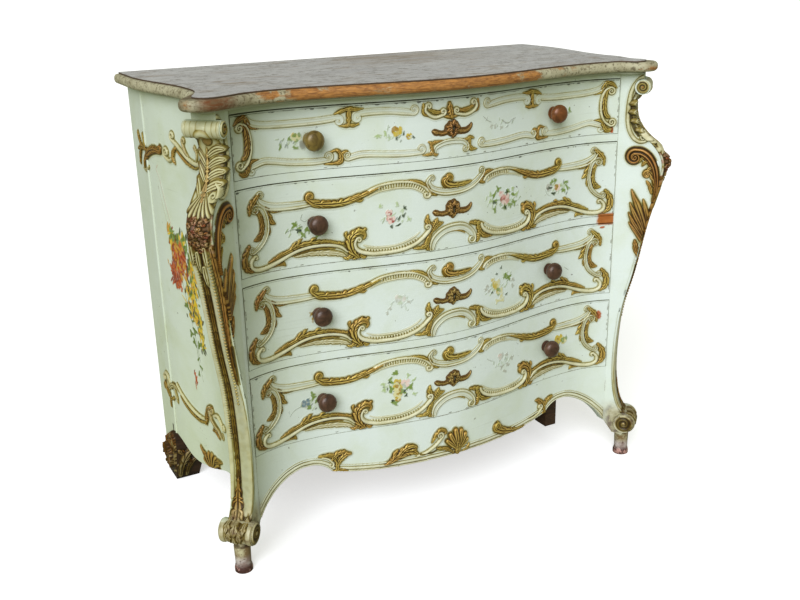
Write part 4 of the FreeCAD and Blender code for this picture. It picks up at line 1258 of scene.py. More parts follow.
def second_flowers(p, rng):
    """Pink roses among green leaves."""
    leaves(p, [(-343, 88.5), (-334, 74.5), (-325, 66.5), (-318, 78.5)], 6, green, 0.75, rng)
    leaves(p, [(-336, 76.5)], 5, deep_green, 0.8, rng)
    leaves(p, [(-298, 59.5)], 6, green, 0.7, rng)
    p.brush([(-362, 76.5, 0.8), (-348, 79.5, 0.8), (-335, 78.5, 0.8)], deep_green, 0.7)
    p.brush([(-327, 109.5, 0.7), (-330, 98.5, 0.8), (-322, 93.5, 0.7), (-315, 97.5, 0.7)],
            deep_green, 0.6)
    rose(p, -147, 94.5, 8, blush, rose_pink, rose_deep, 0.8, rng)
    rose(p, -144, 80.5, 10, blush, rose_pink, rose_deep, 0.85, rng)
    leaves(p, [(-113, 100.5), (-114, 85.5), (-143, 64.5), (-127, 65.5), (-124, 80.5)],
           4.5, deep_green, 0.65, rng)
    leaves(p, [(-165, 108.5), (-128, 110.5), (-104, 76.5)], 5, pale_green, 0.4, rng)
    rose(p, 141, 86.5, 15, blush, rose_pink, rose_deep, 0.75, rng)
    rose(p, 130, 100.5, 8, blush, rose_pink, rose_pink, 0.6, rng)
    leaves(p, [(112, 101.5), (110, 84.5), (113, 66.5), (122, 111.5), (143, 68.5),
               (160, 70.5), (150, 100.5), (170, 90.5), (172, 73.5)], 6.5, green, 0.65, rng)
    leaves(p, [(149, 100.5), (112, 82.5), (145, 67.5)], 5, deep_green, 0.6, rng)
    leaves(p, [(100, 103.5), (98, 86.5), (180, 91.5), (165, 106.5)], 6, pale_green, 0.5, rng)
    rose(p, 309, 86.5, 10, blush, rose_pink, ochre, 0.8, rng)
    rose(p, 283, 90.5, 10, faded, faded, sepia, 0.6, rng)
    leaves(p, [(305, 102.5), (294, 99.5), (336, 94.5), (333, 75.5), (342, 80.5)],
           6, green, 0.6, rng)
    leaves(p, [(298, 72.5), (289, 86.5)], 5.5, deep_green, 0.75, rng)
    p.brush([(272, 86.5, 0.7), (278, 74.5, 0.9), (290, 67.5, 0.7)], deep_green, 0.5)


def third_flowers(p, rng):
    """Pale yellow roses, half worn away."""
    leaves(p, [(-318, 90), (-316, 79)], 6, ochre, 0.4, rng)
    rose(p, -128, 100, 13, faded, pale_green, blush, 0.25, rng)
    leaves(p, [(-150, 80), (-155, 70), (-108, 90)], 4, faded, 0.5, rng)
    rose(p, 118, 90, 13, pale_yellow, yellow, yellow, 0.75, rng)
    rose(p, 128, 72, 11, pale_yellow, yellow, green, 0.65, rng)
    rose(p, 108, 102, 6, pale_yellow, yellow, yellow, 0.6, rng)
    leaves(p, [(135, 58), (140, 47), (124, 48)], 6, pale_yellow, 0.5, rng)
    leaves(p, [(148, 106), (158, 97)], 7, green, 0.85, rng)
    leaves(p, [(134, 126), (120, 113), (152, 59), (108, 73)], 3.6, deep_green, 0.5, rng)
    leaves(p, [(92, 91), (98, 77), (88, 83), (172, 88), (170, 75)], 4.5,
           faded, 0.6, rng)
    p.brush([(341, 83, 0.8), (350, 76, 1), (356, 72, 0.6)], sepia, 0.5)


def fourth_flowers(p, rng):
    """Yellow roses in a tall spray, blue and pink ones beside it."""
    rose(p, -344, 86.5, 11, faded, powder_blue, powder_blue, 0.8, rng)
    leaves(p, [(-324, 96.5), (-317, 87.5), (-333, 72.5), (-326, 103.5)], 6, green, 0.75, rng)
    p.brush([(-380, 62.5, 0.8), (-370, 73.5, 0.9), (-356, 79.5, 0.9), (-346, 78.5, 0.7)],
            deep_green, 0.5)
    for v, radius in ((103.5, 9), (89.5, 12), (73.5, 11), (61.5, 8)):
        rose(p, -138, v, radius, pale_yellow, yellow, ochre, 0.9, rng)
    rose(p, -120, 97.5, 11, blush, rose_pink, faded, 0.8, rng)
    leaves(p, [(-139, 122.5), (-154, 107.5), (-152, 86.5), (-107, 87.5), (-145, 51.5),
               (-124, 78.5)], 7, green, 0.9, rng)
    leaves(p, [(-155, 103.5), (-148, 59.5), (-120, 78.5), (-118, 66.5)], 4, deep_green, 0.7, rng)
    leaves(p, [(-168, 101.5), (-166, 86.5), (-112, 113.5), (-98, 101.5), (-98, 67.5)],
           5, pale_green, 0.6, rng)
    rose(p, 135, 106.5, 9, faded, blush, faded, 0.5, rng)
    leaves(p, [(155, 101.5), (140, 76.5), (160, 76.5), (173, 89.5), (150, 63.5)], 5,
           faded, 0.6, rng)
    p.brush([(94, 109.5, 0.8), (102, 103.5, 0.8), (112, 99.5, 0.7)], sepia, 0.5)
    rose(p, 329, 96.5, 14, yellow, yellow, ochre, 1.0, rng)
    rose(p, 347, 91.5, 11, yellow, pale_yellow, green, 0.7, rng)


drawer_flowers = {1: first_flowers, 2: second_flowers, 3: third_flowers, 4: fourth_flowers}


def edge_chips(p, number, top):
    """Dark chips in the paint along the edges of a drawer, most of them on the uppermost; the black along its
    top edge is partly painted shade of the gap above it.
    """
    rng = np.random.default_rng(60 + number)
    first = number == 1
    # Black broken line along the top edge: chips, and partly painted shade of the gap above the drawer.
    worn = [(u, top + rng.uniform(-0.4, 0.8), rng.uniform(0.3, 1.6 if first else 0.9))
            for u in np.linspace(-466, 466, 60)]
    p.brush(worn, soot_and_gap_shade, 0.95 if first else 0.7)

    def chips(count, across, upright, longs, shorts, paint, strength):
        for _ in range(count):
            u = rng.uniform(*across) if isinstance(across, tuple) else across
            p.dab(u, rng.uniform(*upright), rng.uniform(*longs), rng.uniform(*shorts), 0, paint, strength)
    chips(40 if first else 10, (-466, 466), (top - 1.4, top + 1.4), (1.2, 6), (0.8, 2.6), soot_and_gap_shade, 0.9)
    chips(16, (-466, 466), (1.5, 4), (1.2, 5), (0.8, 1.8), sepia, 0.7)
    for end in (-467, 467):
        chips(10, end, (6, top - 6), (0.8, 1.8), (2, 6), sepia, 0.7)
    chips(12, (-440, 440), (4, top - 4), (0.8, 1.6), (0.8, 1.4), sepia, 0.7)


# Escutcheons: a carved rosette round the keyhole and a drooping leaf at each side

def petal(p, degrees, stations, height, tone):
    """Petal of a rosette; each station is (distance from the middle, half width)."""
    along, across = math.cos(math.radians(degrees)), math.sin(math.radians(degrees))
    p.leaf([(out * along, out * across, width) for out, width in stations], height, tone=tone)


def escutcheon_relief(seed, tone):
    """Leaves at both sides, a drop leaf and two rings of petals."""
    rng = np.random.default_rng(seed)
    p = Patch(-54, 60, -24, 24, 0.8)
    p.leaf([(-14, -7, 3), (-21, -9, 2.8), (-28, -9, 2.6), (-36, -6, 2)], 4.0, 4, 1, tone=0.3 * tone, ink=0.5)
    p.leaf([(-33, -8, 1.6), (-40, -6, 4), (-46, -3, 1.2)], 4.8, tone=0.3 * tone, ink=0.4)
    p.leaf([(14, -6, 3.6), (21, -8, 4), (29, -8, 3.6)], 4.2, 3, -1, tone=0.3 * tone, ink=0.5)
    p.leaf([(26, -9, 2.6), (36, -7, 3.2), (44, -1, 2.4), (47, 5, 1)], 4.8, tone=0.3 * tone, ink=0.4)
    p.leaf([(0, -7, 6), (0, -13, 5), (0, -19, 1.2)], 5.2, 2, tone=tone, ink=0.4)
    for k in range(9):
        petal(p, 40 * k + rng.uniform(-7, 7), ((3, 4), (10, 6), (rng.uniform(12.0, 15.0), 3)), 6.4, tone)
    for k in range(6):
        petal(p, 60 * k + 25 + rng.uniform(-8, 8), ((2, 3), (6, 3.8), (9.5, 2)), 8.0, tone)
    p.age(seed, 0.8)
    p.glaze_and_shade *= 0.35 + 0.65 * ease(p.height, 0.2, 1.5)
    p.stain([(0, -8, 3.4), (0, 0, 4.2), (0, 4, 4.2)], 1.0)
    return p


rosette_tones = {1: 0.35, 2: 0.12, 3: 0.0, 4: 0.0}


def dress_drawer(number, relief):
    """Carving, painted flowers and wear of one drawer front."""
    p = copy.deepcopy(relief)
    foliage(p, number)
    drawer_flowers[number](p, np.random.default_rng(40 + number))
    edge_chips(p, number, drawer_heights[number] - 2)
    p.cover *= np.clip(1 - p.height, 0, 1)
    p.dab(*bare_places[number], 5, brick, 1.0)
    p.age(100 + number)
    p.v += drawer_bottoms[number]
    p.build("drawer_%d_carving" % number, on_front, "drawer_%d" % number, celadon, "celadon_paint")


def dress_escutcheon(number):
    """Carved rosette that stands for the plain plate round a keyhole."""
    plate = escutcheon_relief(20 + number, rosette_tones[number])
    key_u = plate.u + escutcheon_x
    open_hole = np.hypot(key_u, plate.v) > 3.2
    open_hole &= (np.abs(key_u) > 1.8) | (plate.v > 0) | (plate.v < -9)
    plate.u += escutcheon_x
    plate.v += drawer_bottoms[number] + drawer_heights[number] / 2
    cover = plate.build("drawer_%d_rosette" % number, on_front, "drawer_%d" % number, bronze, "gilt",
                        open_hole, 1.2)
    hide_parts("drawer_%d_escutcheon" % number)


def dress_drawers():
    """Carving, flowers and rosette on each drawer."""
    large = large_drawer_relief()
    small = small_drawer_relief()
    for number in drawer_bottoms:
        dress_drawer(number, small if number == 1 else large)
        dress_escutcheon(number)


dress_drawers()


# Stiles: consoles with acanthus on the neck, a knop at the knee and gilt leaves on the cheeks

def cheek_relief():
    """Scroll, wave leaf and flames on the cheek of a stile that looks towards the drawers."""
    p = Patch(-4, 110, 62, 974)
    p.bead(scroll([(60, 970, 3), (46, 966, 3.6), (33, 951, 4), (25, 932, 4), (21, 905, 4), (20, 880, 4),
                   (22, 858, 4), (27, 842, 4), (36, 828, 3.8), (48, 820, 3.4), (58, 820, 3)],
                  (13, -1, 1.5), (9.5, 1, 1.5)), 4.4)
    p.bead([(38, 912, 3), (35, 893, 4.5), (40, 872, 6.5), (49, 854, 7), (60, 840, 5)], 3.6, 0.1)
    p.leaf([(56, 944, 2), (62, 940, 4), (69, 936, 1.5)], 3.5, 1)
    p.stain([(53, 949, 2), (43, 941, 3.5), (34, 925, 3.5), (29, 905, 3), (28, 880, 3), (31, 862, 3.5),
             (38, 847, 4), (46, 834, 3)], 0.95)
    p.leaf(scroll([(88, 680, 3), (93, 712, 6), (91, 742, 9), (84, 766, 11), (72, 784, 13), (57, 794, 14),
                   (42, 796, 14)], None, (12.5, 1, 1.25)), 8.0, strands=1.5, ink=0.8, tone=0.6)
    for shape in ([(84, 762, 4), (76, 758, 5), (70, 748, 2)], [(76, 776, 4), (66, 774, 5), (59, 764, 2)],
                  [(66, 786, 4), (56, 780, 4.5), (50, 772, 2)]):
        p.leaf(shape, 6.0, ink=0.3)
    p.bead([(60, 776, 1.8), (73, 770, 2.2), (82, 757, 2.2), (88, 735, 2), (91, 712, 1.4)], 4.2)
    p.leaf(scroll([(91, 690, 3), (92, 715, 6), (87, 735, 8), (78, 748, 8)], None, (8, 1, 1.0)), 6.0, 4, 1)
    p.leaf([(84, 700, 3), (79, 716, 5), (71, 728, 2)], 4.0, 2)
    flames = (((76, 600, 8), (68, 632, 11), (54, 668, 9), (44, 690, 5), (38, 706, 1.5)),
              ((74, 596, 8), (62, 622, 9), (48, 648, 7), (36, 674, 1.5)),
              ((72, 590, 7), (60, 608, 8), (46, 628, 6), (34, 650, 1.5)),
              ((70, 580, 6), (58, 598, 6.5), (47, 612, 5), (36, 626, 1.5)),
              ((80, 606, 7), (78, 636, 8), (72, 662, 6), (66, 684, 1.5)),
              ((84, 616, 6), (88, 642, 6), (91, 662, 4.5), (92, 680, 2)))
    for k, shape in enumerate(flames):
        p.leaf(shape, 7.0 - 0.5 * abs(k - 1), tone=0.45, ink=0.7, vein=0.15)
    p.leaf([(84, 640, 7), (80, 612, 9), (74, 584, 9), (68, 556, 7), (61, 528, 5.5), (55, 500, 4),
            (51, 474, 2)], 6.2, tone=0.3, ink=0.6, vein=0.25)
    p.leaf([(63, 535, 3), (60, 552, 7), (55, 568, 7), (52, 582, 3)], 4.5, 3, 1, tone=0.3)
    return p


def knee_flower(p, u, v, radius, rise, rng):
    """Flower of the cluster at the knee, with turned petals round a sunk heart."""
    for k in range(6):
        a = math.radians(60 * k + rng.uniform(-14, 14))
        out = radius * rng.uniform(0.8, 1.1)
        stations = ((1.5, 0.22), (0.6 * out, 0.46), (out, 0.12))
        p.leaf([(u + r * math.cos(a), v + r * math.sin(a), radius * share) for r, share in stations],
               rise + rng.uniform(2, 4), tone=rng.uniform(0.5, 1), ink=0.4)
    p.knobble(u, v, radius * 0.2, rise + 3, 1.0, 0.6, 1.0)


def neck_relief(p):
    """Volute, leaf of the neck with its striped spine, and the leaf that droops over the knee."""
    for u, width in ((-10, 4), (-2, 6), (9, 7), (25, 11), (41, 7), (52, 6), (60, 4)):
        p.bead([(u, 930, width), (u, 962, width)], 1.8, 0.12)
    p.knobble(26, 923, 11, 10.0, 0.9, 0.15, 0.4)
    p.leaf([(26, 930, 20), (25, 905, 28), (25, 880, 29), (25, 856, 28), (25, 834, 18)],
           4.6, gild=0.0, vein=0.0, ink=0.5)
    for v in (846, 867, 888, 908):
        p.leaf([(30, v - 14, 7), (20, v - 6, 10.5), (9, v - 1, 11.5), (-1, v, 8)],
               7.6, strands=2, gild=0.0, vein=0.0, ink=0.6)
    for v in (850, 874, 898):
        p.leaf([(34, v - 22, 6), (42, v - 8, 8.5), (49, v + 6, 5)],
               7.0, strands=1.5, gild=0.0, vein=0.0, ink=0.6)
    p.leaf([(31, 916, 1.4), (31, 892, 3.6), (30, 868, 5.4), (28, 846, 7), (26, 828, 8), (25, 818, 4)],
           9.2, 11, 0, 0.4, 0.9, 0.1, tone=0.25, ink=0.9)
    p.fan(25, 838, 52, -90, 42, 7, 8.6, 0.0, ink=0.6)
    p.stain([(49, 930, 2.2), (49, 820, 2.2), (49, 730, 2.2)], 0.7)
    p.bead(scroll([(8, 846, 3), (-1, 838, 4), (-3, 828, 4)], None, (9, 1, 1.4)), 9.5)


def shaft_relief(p):
    """Two cream beads along the shaft, the inner one notched, with an olive-gold channel between them."""
    p.bead([(19, 720, 6), (20, 600, 6.5), (18, 460, 8), (14, 350, 12), (13, 215, 13), (12, 140, 12)],
           3.6, 0.28)
    p.bead([(46, 720, 6), (47, 600, 6.5), (47, 460, 6.8), (48, 300, 7), (48, 165, 6)], 3.4, 0.15)
    p.flutes([(14, 720, 2.6), (15, 600, 2.8), (14, 452, 2.8), (14, 380, 2)], 7.0, 2.2, 0.85)
    p.flutes([(41, 720, 2.2), (41, 600, 2.4), (41, 300, 2.4)], 6.0, 1.6, 0.7)
    p.leaf([(32, 735, 6.5), (33, 600, 7), (32, 460, 7), (32, 300, 6.5), (32, 200, 6)],
           1.6, vein=0.3, ink=0.5, lobes=16)
    p.stain([(32, 735, 7), (33, 600, 7.5), (32, 460, 7.5), (32, 300, 7), (32, 200, 6)], 0.3)
    p.leaf([(4, 735, 7), (2, 700, 8), (2, 650, 7.5), (5, 590, 6), (7, 540, 5), (9, 480, 3.6),
            (9, 430, 2)], 4.6, 9, 1, tone=0.5)
    p.stain([(3, 520, 3.4), (4, 470, 3.0), (4, 430, 1.0)], 0.75)
    p.stain([(9, 700, 2.4), (10, 560, 2.4), (9, 430, 1.0)], 0.7)
    p.stain([(53, 730, 2), (54, 560, 2), (54, 400, 1.6)], 0.7)
    for u, v in ((18, 700), (34, 690), (46, 702), (26, 660)):
        p.leaf([(u, v + 34, 5), (u + 1, v + 14, 6), (u, v - 8, 1.5)], 6.5, 0, strands=1, gild=0.0, ink=0.4)


def knee_blush(p):
    """Red and pink left on the flowers of the knee."""
    rng = np.random.default_rng(8)
    paints = (colour(158, 44, 26), colour(184, 90, 76), colour(212, 184, 152), colour(140, 40, 30))
    for _ in range(90):
        p.dab(rng.uniform(0, 50), rng.uniform(728, 796), rng.uniform(3, 7), rng.uniform(2, 4),
              rng.uniform(0, 180), paints[int(rng.integers(0, 4))], 0.6)


def console_relief():
    """Whole outer face of a console, from the volute down to the foot scroll."""
    rng = np.random.default_rng(7)
    p = Patch(-12, 62, 76, 962)
    neck_relief(p)
    p.leaf([(25, 796, 20), (25, 780, 25), (25, 762, 26), (25, 742, 20), (25, 728, 8)], 5.0, tone=0.9)
    for u, v, radius in ((12, 786, 9), (30, 788, 9), (43, 778, 8), (20, 768, 11), (37, 760, 10),
                         (8, 762, 8), (14, 746, 9), (30, 742, 9), (44, 744, 7), (24, 730, 7)):
        knee_flower(p, u, v, radius, 5.5, rng)
    shaft_relief(p)
    p.leaf([(32, 206, 3), (32, 186, 7), (32, 164, 12), (31, 144, 17), (31, 124, 16)],
           6.0, 5, 0, 1.2, tone=0.5, ink=0.9)
    for u, v, width in ((6, 116, 8), (26, 112, 11), (44, 117, 8), (14, 98, 8), (37, 97, 8), (26, 84, 7)):
        p.leaf([(u, v + 12, width * 0.4), (u, v, width), (u, v - 12, width * 0.3)],
               6.5, 2, gild=0.35, tone=0.4, ink=0.6)
    for u in (-5, 55):
        p.bead([(u, 78, 6), (u, 119, 6)], 3.0, 0.1)
    return p


def disc_relief(radius, centre_reach, centre_z, stain):
    """Spiral on the round end of a scroll."""
    p = Patch(centre_reach - radius, centre_reach + radius, centre_z - radius, centre_z + radius)
    t = np.linspace(0.0, 1.0, 160)
    angle = 2 * math.pi * (0.3 - 1.9 * t)

    def spiral(reach, width):
        return np.column_stack([centre_reach + reach * np.cos(angle),
                                centre_z + reach * np.sin(angle), width])
    p.bead(spiral(radius * (0.88 - 0.72 * t), radius * (0.15 - 0.05 * t)), 3.0)
    p.knobble(centre_reach, centre_z, radius * 0.22, 3.6, 1.0, 0.3, 0.5)
    p.stain(spiral(0.5 * radius, 0.0 * t + radius * 0.32), stain)
    return p


def build_cheek(p, sign, key):
    """Cheek carving, where rays from beside the stile meet the cheek itself."""
    starts = stile_point(sign, p.u, -30.0 + 0.0 * p.u, p.v)
    gap = cast(key + "_front_stile", starts, (sign / root_two, 1.0 / root_two, 0.0), 60.0)
    solid = (gap > 26.5) & (gap < 30.5)
    p.build(key + "_cheek_carving", on_cheek(sign), "carcase", celadon, "celadon_paint", solid)


def build_console(p, sign, key):
    """Console carving, kept inside the case's box and off the bare sides of the shaft."""
    place, solid, reach = on_console(sign, key, p)
    p.hold(np.minimum(side_room - p.u, knee_room + p.u) - np.nan_to_num(reach))
    face = (p.u > -1.2) & (p.u < console_width + 1.2)
    solid &= face | scrolled(p) | ((p.height > 1.5) & (p.v > 822))
    p.build(key + "_console_carving", place, "carcase", celadon, "celadon_paint", solid, 4.0)


def build_scroll_ends(name, radius, reach, z, length, stain, sign, key):
    """Carving on the two round ends of a volute or foot scroll."""
    for end, across in (("inner", (console_width - length) / 2), ("outer", (console_width + length) / 2)):
        p = disc_relief(radius - 0.6, reach, z, stain)
        p.age(70)
        inside = np.hypot(p.u - reach, p.v - z) < radius - 0.5
        p.build("%s_%s_%s" % (key, name, end), on_disc(sign, across), "carcase", celadon, "celadon_paint",
                inside)


def dress_stiles():
    """Console, cheek and scroll ends on both front stiles."""
    cheek = cheek_relief()
    cheek.age(61)
    cheek.soil(14.0, 0.2, 3)
    cheek.hold(knee_room - cheek.u)
    console = console_relief()
    console.age(62, 1.05)
    drab = 0.6 * ease(console.v, 715, 740) * (1 - console.gild)
    console.tint(np.s_[:], drab, colour(206, 204, 170))
    console.soil(10.0, 0.14, 4, 0.3)
    knee_blush(console)
    for sign, key in both_sides:
        build_cheek(cheek, sign, key)
        build_console(console, sign, key)
        build_scroll_ends("volute", 17.0, 50.0, 946.0, 76.0, 0.5, sign, key)
        build_scroll_ends("foot_scroll", 25.0, 52.0, 97.0, 74.0, 0.85, sign, key)


dress_stiles()


# Apron: a double moulding along its scallops, gilt leaves and a shell

def edge_distance(solid, cells):
    """Distance in cells from each place to the nearest one outside the solid."""
    best = np.full(solid.shape, float(cells))
    span = np.arange(-cells, cells + 1)
    stamp = np.hypot(*np.meshgrid(span, span))
    rows, columns = solid.shape
    for j, i in np.argwhere(~solid & grown(solid)):
        j0, j1 = max(j - cells, 0), min(j + cells + 1, rows)
        i0, i1 = max(i - cells, 0), min(i + cells + 1, columns)
        part = stamp[j0 - j + cells:j1 - j + cells, i0 - i + cells:i1 - i + cells]
        best[j0:j1, i0:i1] = np.minimum(best[j0:j1, i0:i1], part)
    return best


def edge_moulding(p, solid, top):
    """Raised triple lip along the lower edge of the apron."""
    d = edge_distance(solid, 20)
    profile = 0.0
    for middle, half_width, share in ((9.0, 3.2, 1.0), (2.5, 2.6, 0.9), (15.5, 1.6, 0.45)):
        profile = profile + share * np.clip(1 - ((d - middle) / half_width) ** 2, 0, 1)
    profile = np.clip(profile, 0, 1)
    below = solid & (p.v < top)
    p.lay(below, 2.6 * np.sqrt(profile)[below], 0.0, profile[below])


def apron_left(p):
    """Leaves of the left arch, and the long leaf and bead from there to the shell."""
    p.leaf([(-294, 155, 4), (-281, 160, 6), (-279, 176, 7), (-284, 192, 7), (-300, 199, 5),
            (-320, 200, 2)], 5.0, 5)
    p.leaf([(-280, 172, 5), (-270, 186, 9), (-258, 194, 8), (-248, 194, 3)], 5.8, 4)
    p.leaf([(-292, 186, 4), (-278, 198, 7), (-262, 202, 4)], 5.2, 3)
    p.leaf([(-276, 160, 5), (-264, 156, 5), (-254, 152, 2)], 4.6, 2)
    p.bead(scroll([(-312, 196, 2.4), (-298, 190, 2.6), (-288, 178, 2.6)], None, (6, -1, 1.2)), 5.4)
    p.leaf([(-172, 151, 2), (-158, 156, 6), (-144, 166, 11), (-124, 174, 13), (-106, 174, 11),
            (-96, 167, 4)], 5.5, 6, 1, 1.4)
    p.leaf([(-140, 166, 5), (-126, 182, 8), (-108, 188, 7), (-96, 182, 3)], 6.0, 4)
    p.leaf([(-150, 160, 4), (-148, 174, 5), (-140, 184, 2)], 5.0, 2)
    p.bead(scroll([(-94, 160, 3), (-74, 164, 3.6), (-56, 173, 4), (-42, 184, 4), (-32, 194, 3.4)], None,
                  (8.5, 1, 1.3)), 4.6)
    p.leaf(scroll([(-58, 186, 2), (-50, 200, 5), (-38, 212, 5.5), (-26, 210, 4)], None, (6, -1, 0.6)),
           5.0, 4, 1)
    p.stain([(-88, 163, 1.5), (-60, 160, 2), (-40, 165, 2), (-20, 158, 2), (-2, 144, 1.5)], 0.9)
    p.leaf([(-44, 168, 3), (-24, 163, 5), (-8, 152, 4), (0, 144, 1.5)], 4.6, 3)


def apron_shell(p):
    """Shell in the middle, with the leaves at its root."""
    root_u, root_v = 8, 154
    ribs = ((-20, 182, 7), (-12, 196, 8), (2, 204, 9), (17, 200, 9), (28, 188, 9), (33, 173, 8))
    for k, (u, v, width) in enumerate(ribs):
        middle = (root_u + 0.6 * (u - root_u), root_v + 0.6 * (v - root_v), width)
        p.leaf([(root_u, root_v, 4), middle, (u, v, width * 0.8)], 8.0 - 0.5 * abs(k - 2), ink=0.7, vein=0.2)
    p.leaf([(6, 172, 8), (8, 158, 10), (5, 143, 4)], 8.5, 3)
    p.leaf([(40, 160, 2), (34, 150, 5), (20, 146, 2)], 5.0, 2)


def apron_right(p):
    """Leaf that runs off the shell, and the leaves of the right arch."""
    p.leaf(scroll([(226, 146, 1), (205, 146, 4), (180, 148, 7), (158, 154, 9), (140, 160, 11),
                   (124, 170, 10)], None, (7, -1, 1.1)), 6.5, 8, -1, 1.4)
    p.leaf([(146, 164, 4), (132, 176, 5), (128, 188, 2)], 5.5, 2)
    p.leaf([(290, 158, 4), (286, 172, 7), (279, 186, 8), (268, 197, 6), (258, 200, 2)], 5.0, 5)
    p.leaf([(288, 178, 5), (298, 190, 7), (314, 197, 3)], 5.4, 3)
    p.leaf([(284, 160, 4), (298, 154, 5), (302, 150, 2)], 4.6, 2)
    p.bead(scroll([(236, 156, 2), (254, 158, 3), (268, 164, 3), (278, 174, 3)], None, (7, 1, 1.3)), 5.0)


def apron_solid(p):
    """Places of a patch that have the apron behind them."""
    starts = np.stack([p.u, 0 * p.u - 400.0, p.v], -1)
    return ~np.isnan(cast("front_apron", starts, (0.0, 1.0, 0.0), 300.0))


def dress_apron():
    """Carving of the apron."""
    p = Patch(-469, 469, 92, 226)
    solid = apron_solid(p)
    edge_moulding(p, solid, 222)
    apron_left(p)
    apron_shell(p)
    apron_right(p)
    p.dab(58, 217, 3, 1.5, 20, sepia, 0.7)
    p.dab(280, 228, 4, 1.5, 10, sepia, 0.5)
    p.age(80)
    p.build("apron_carving", on_front, "carcase", celadon, "celadon_paint", solid)


dress_apron()


# Sides: gilt leaves at the top and bottom, a shell on the edge and a painted hanging bouquet

def side_bouquet(p, rng):
    """Hanging bouquet: grasses above, red and orange petals, yellow ones below, a leaf at the end."""
    rust, orange, amber = colour(146, 46, 6), colour(196, 86, 10), colour(210, 154, 36)
    gold, moss, olive = colour(230, 196, 40), colour(104, 126, 40), colour(66, 66, 28)
    strokes(p, rng, [(262, 632), (256, 652), (246, 676)], [20, 26, 16],
            60, 15, (moss, green, gold, olive), 100)
    strokes(p, rng, [(298, 688), (286, 660), (268, 628)], [8, 20, 24],
            60, 13, (moss, amber, rust, green, gold), 115)
    strokes(p, rng, [(262, 650), (272, 612), (276, 584)], [22, 34, 34],
            200, 11, (rust, orange, rust, amber), 80)
    strokes(p, rng, [(300, 590), (290, 572), (274, 560)], [12, 16, 14], 60, 10, (rust, orange), 120)
    strokes(p, rng, [(222, 630), (214, 590), (206, 556)], [10, 20, 20],
            90, 10, (gold, amber, olive, moss), 80)
    strokes(p, rng, [(236, 572), (222, 530), (206, 486)], [26, 28, 20],
            150, 9, (gold, gold, amber, moss, olive), 90)
    strokes(p, rng, [(206, 500), (196, 460), (190, 430)], [16, 14, 10], 70, 8, (gold, moss, olive, gold), 95)
    for u, v, size in ((240, 560, 10), (226, 524, 10), (214, 500, 10), (238, 500, 8), (204, 470, 9)):
        rose(p, u, v, size, gold, gold, amber, 0.85, rng)
        strokes(p, rng, [(u - 8, v - 6), (u + 8, v + 6)], [8, 8], 4, 7, (olive,), 60)
    leaves(p, [(232, 438), (244, 456), (214, 436), (252, 520), (228, 468)], 9, moss, 0.8, rng)
    leaves(p, [(214, 384), (222, 402), (226, 366)], 6, moss, 0.7, rng)
    p.brush([(226, 430, 1.2), (222, 400, 1.2), (214, 372, 1), (210, 350, 0.8)], moss, 0.7)
    strokes(p, rng, [(246, 360), (242, 346), (246, 332)], [3, 8, 3], 14, 7, (rust, orange), 90)
    p.brush([(290, 700, 1.4), (306, 740, 1.6), (322, 790, 1.4), (336, 812, 1.6), (326, 824, 1.2)],
            rose_pink, 0.5)
    p.brush([(304, 690, 1), (318, 730, 1.2), (334, 780, 1)], ochre, 0.4)
    p.brush([(262, 574, 1.2), (244, 510, 1.4), (226, 450, 1.4), (214, 396, 1.2)], olive, 0.6)


def side_top(p):
    """Scroll and leaves under the top, with the large leaf towards the back."""
    p.bead(scroll([(108, 862, 3), (128, 853, 4.5), (152, 851, 5), (178, 856, 5), (204, 867, 5),
                   (228, 880, 4.5), (246, 888, 4)], None, (9, 1, 1.2)), 4.2, 0.1)
    p.leaf([(116, 854, 2), (150, 843, 4), (190, 848, 4.5), (226, 866, 3)], 3.2, 5, -1)
    p.leaf(scroll([(178, 862, 2), (192, 872, 4), (200, 888, 4)], None, (7, 1, 1.0)), 4.2, gild=0.5)
    p.leaf(scroll([(140, 856, 2), (132, 870, 4), (138, 884, 3)], None, (6, -1, 0.9)), 4.0, gild=0.5)
    p.leaf([(232, 872, 4), (244, 862, 6), (246, 848, 5), (240, 838, 2)], 5.0, 3)
    p.bead(scroll([(250, 848, 3), (264, 842, 3.6), (280, 848, 3.6)], None, (11, 1, 1.5)), 5.0, 0.2)
    p.leaf(scroll([(410, 806, 2), (398, 824, 7), (380, 838, 9), (356, 850, 10), (330, 856, 9), (306, 854, 5)],
                  None, (9, -1, 0.8)), 5.6, 8, -1, 1.3, tone=0.5)
    p.leaf([(372, 848, 4), (400, 852, 7), (428, 850, 7), (448, 842, 3)], 5.0, 5, tone=0.4)
    p.leaf([(420, 852, 4), (434, 868, 6), (442, 884, 2)], 4.6, 3, tone=0.4)
    p.leaf([(424, 846, 4), (438, 832, 6), (444, 808, 2)], 4.6, 3, tone=0.4)
    p.leaf([(384, 846, 4), (394, 866, 6), (404, 884, 2)], 4.6, 3)
    p.leaf([(376, 812, 3), (398, 802, 5), (424, 802, 2)], 3.4, 3, gild=0.3)


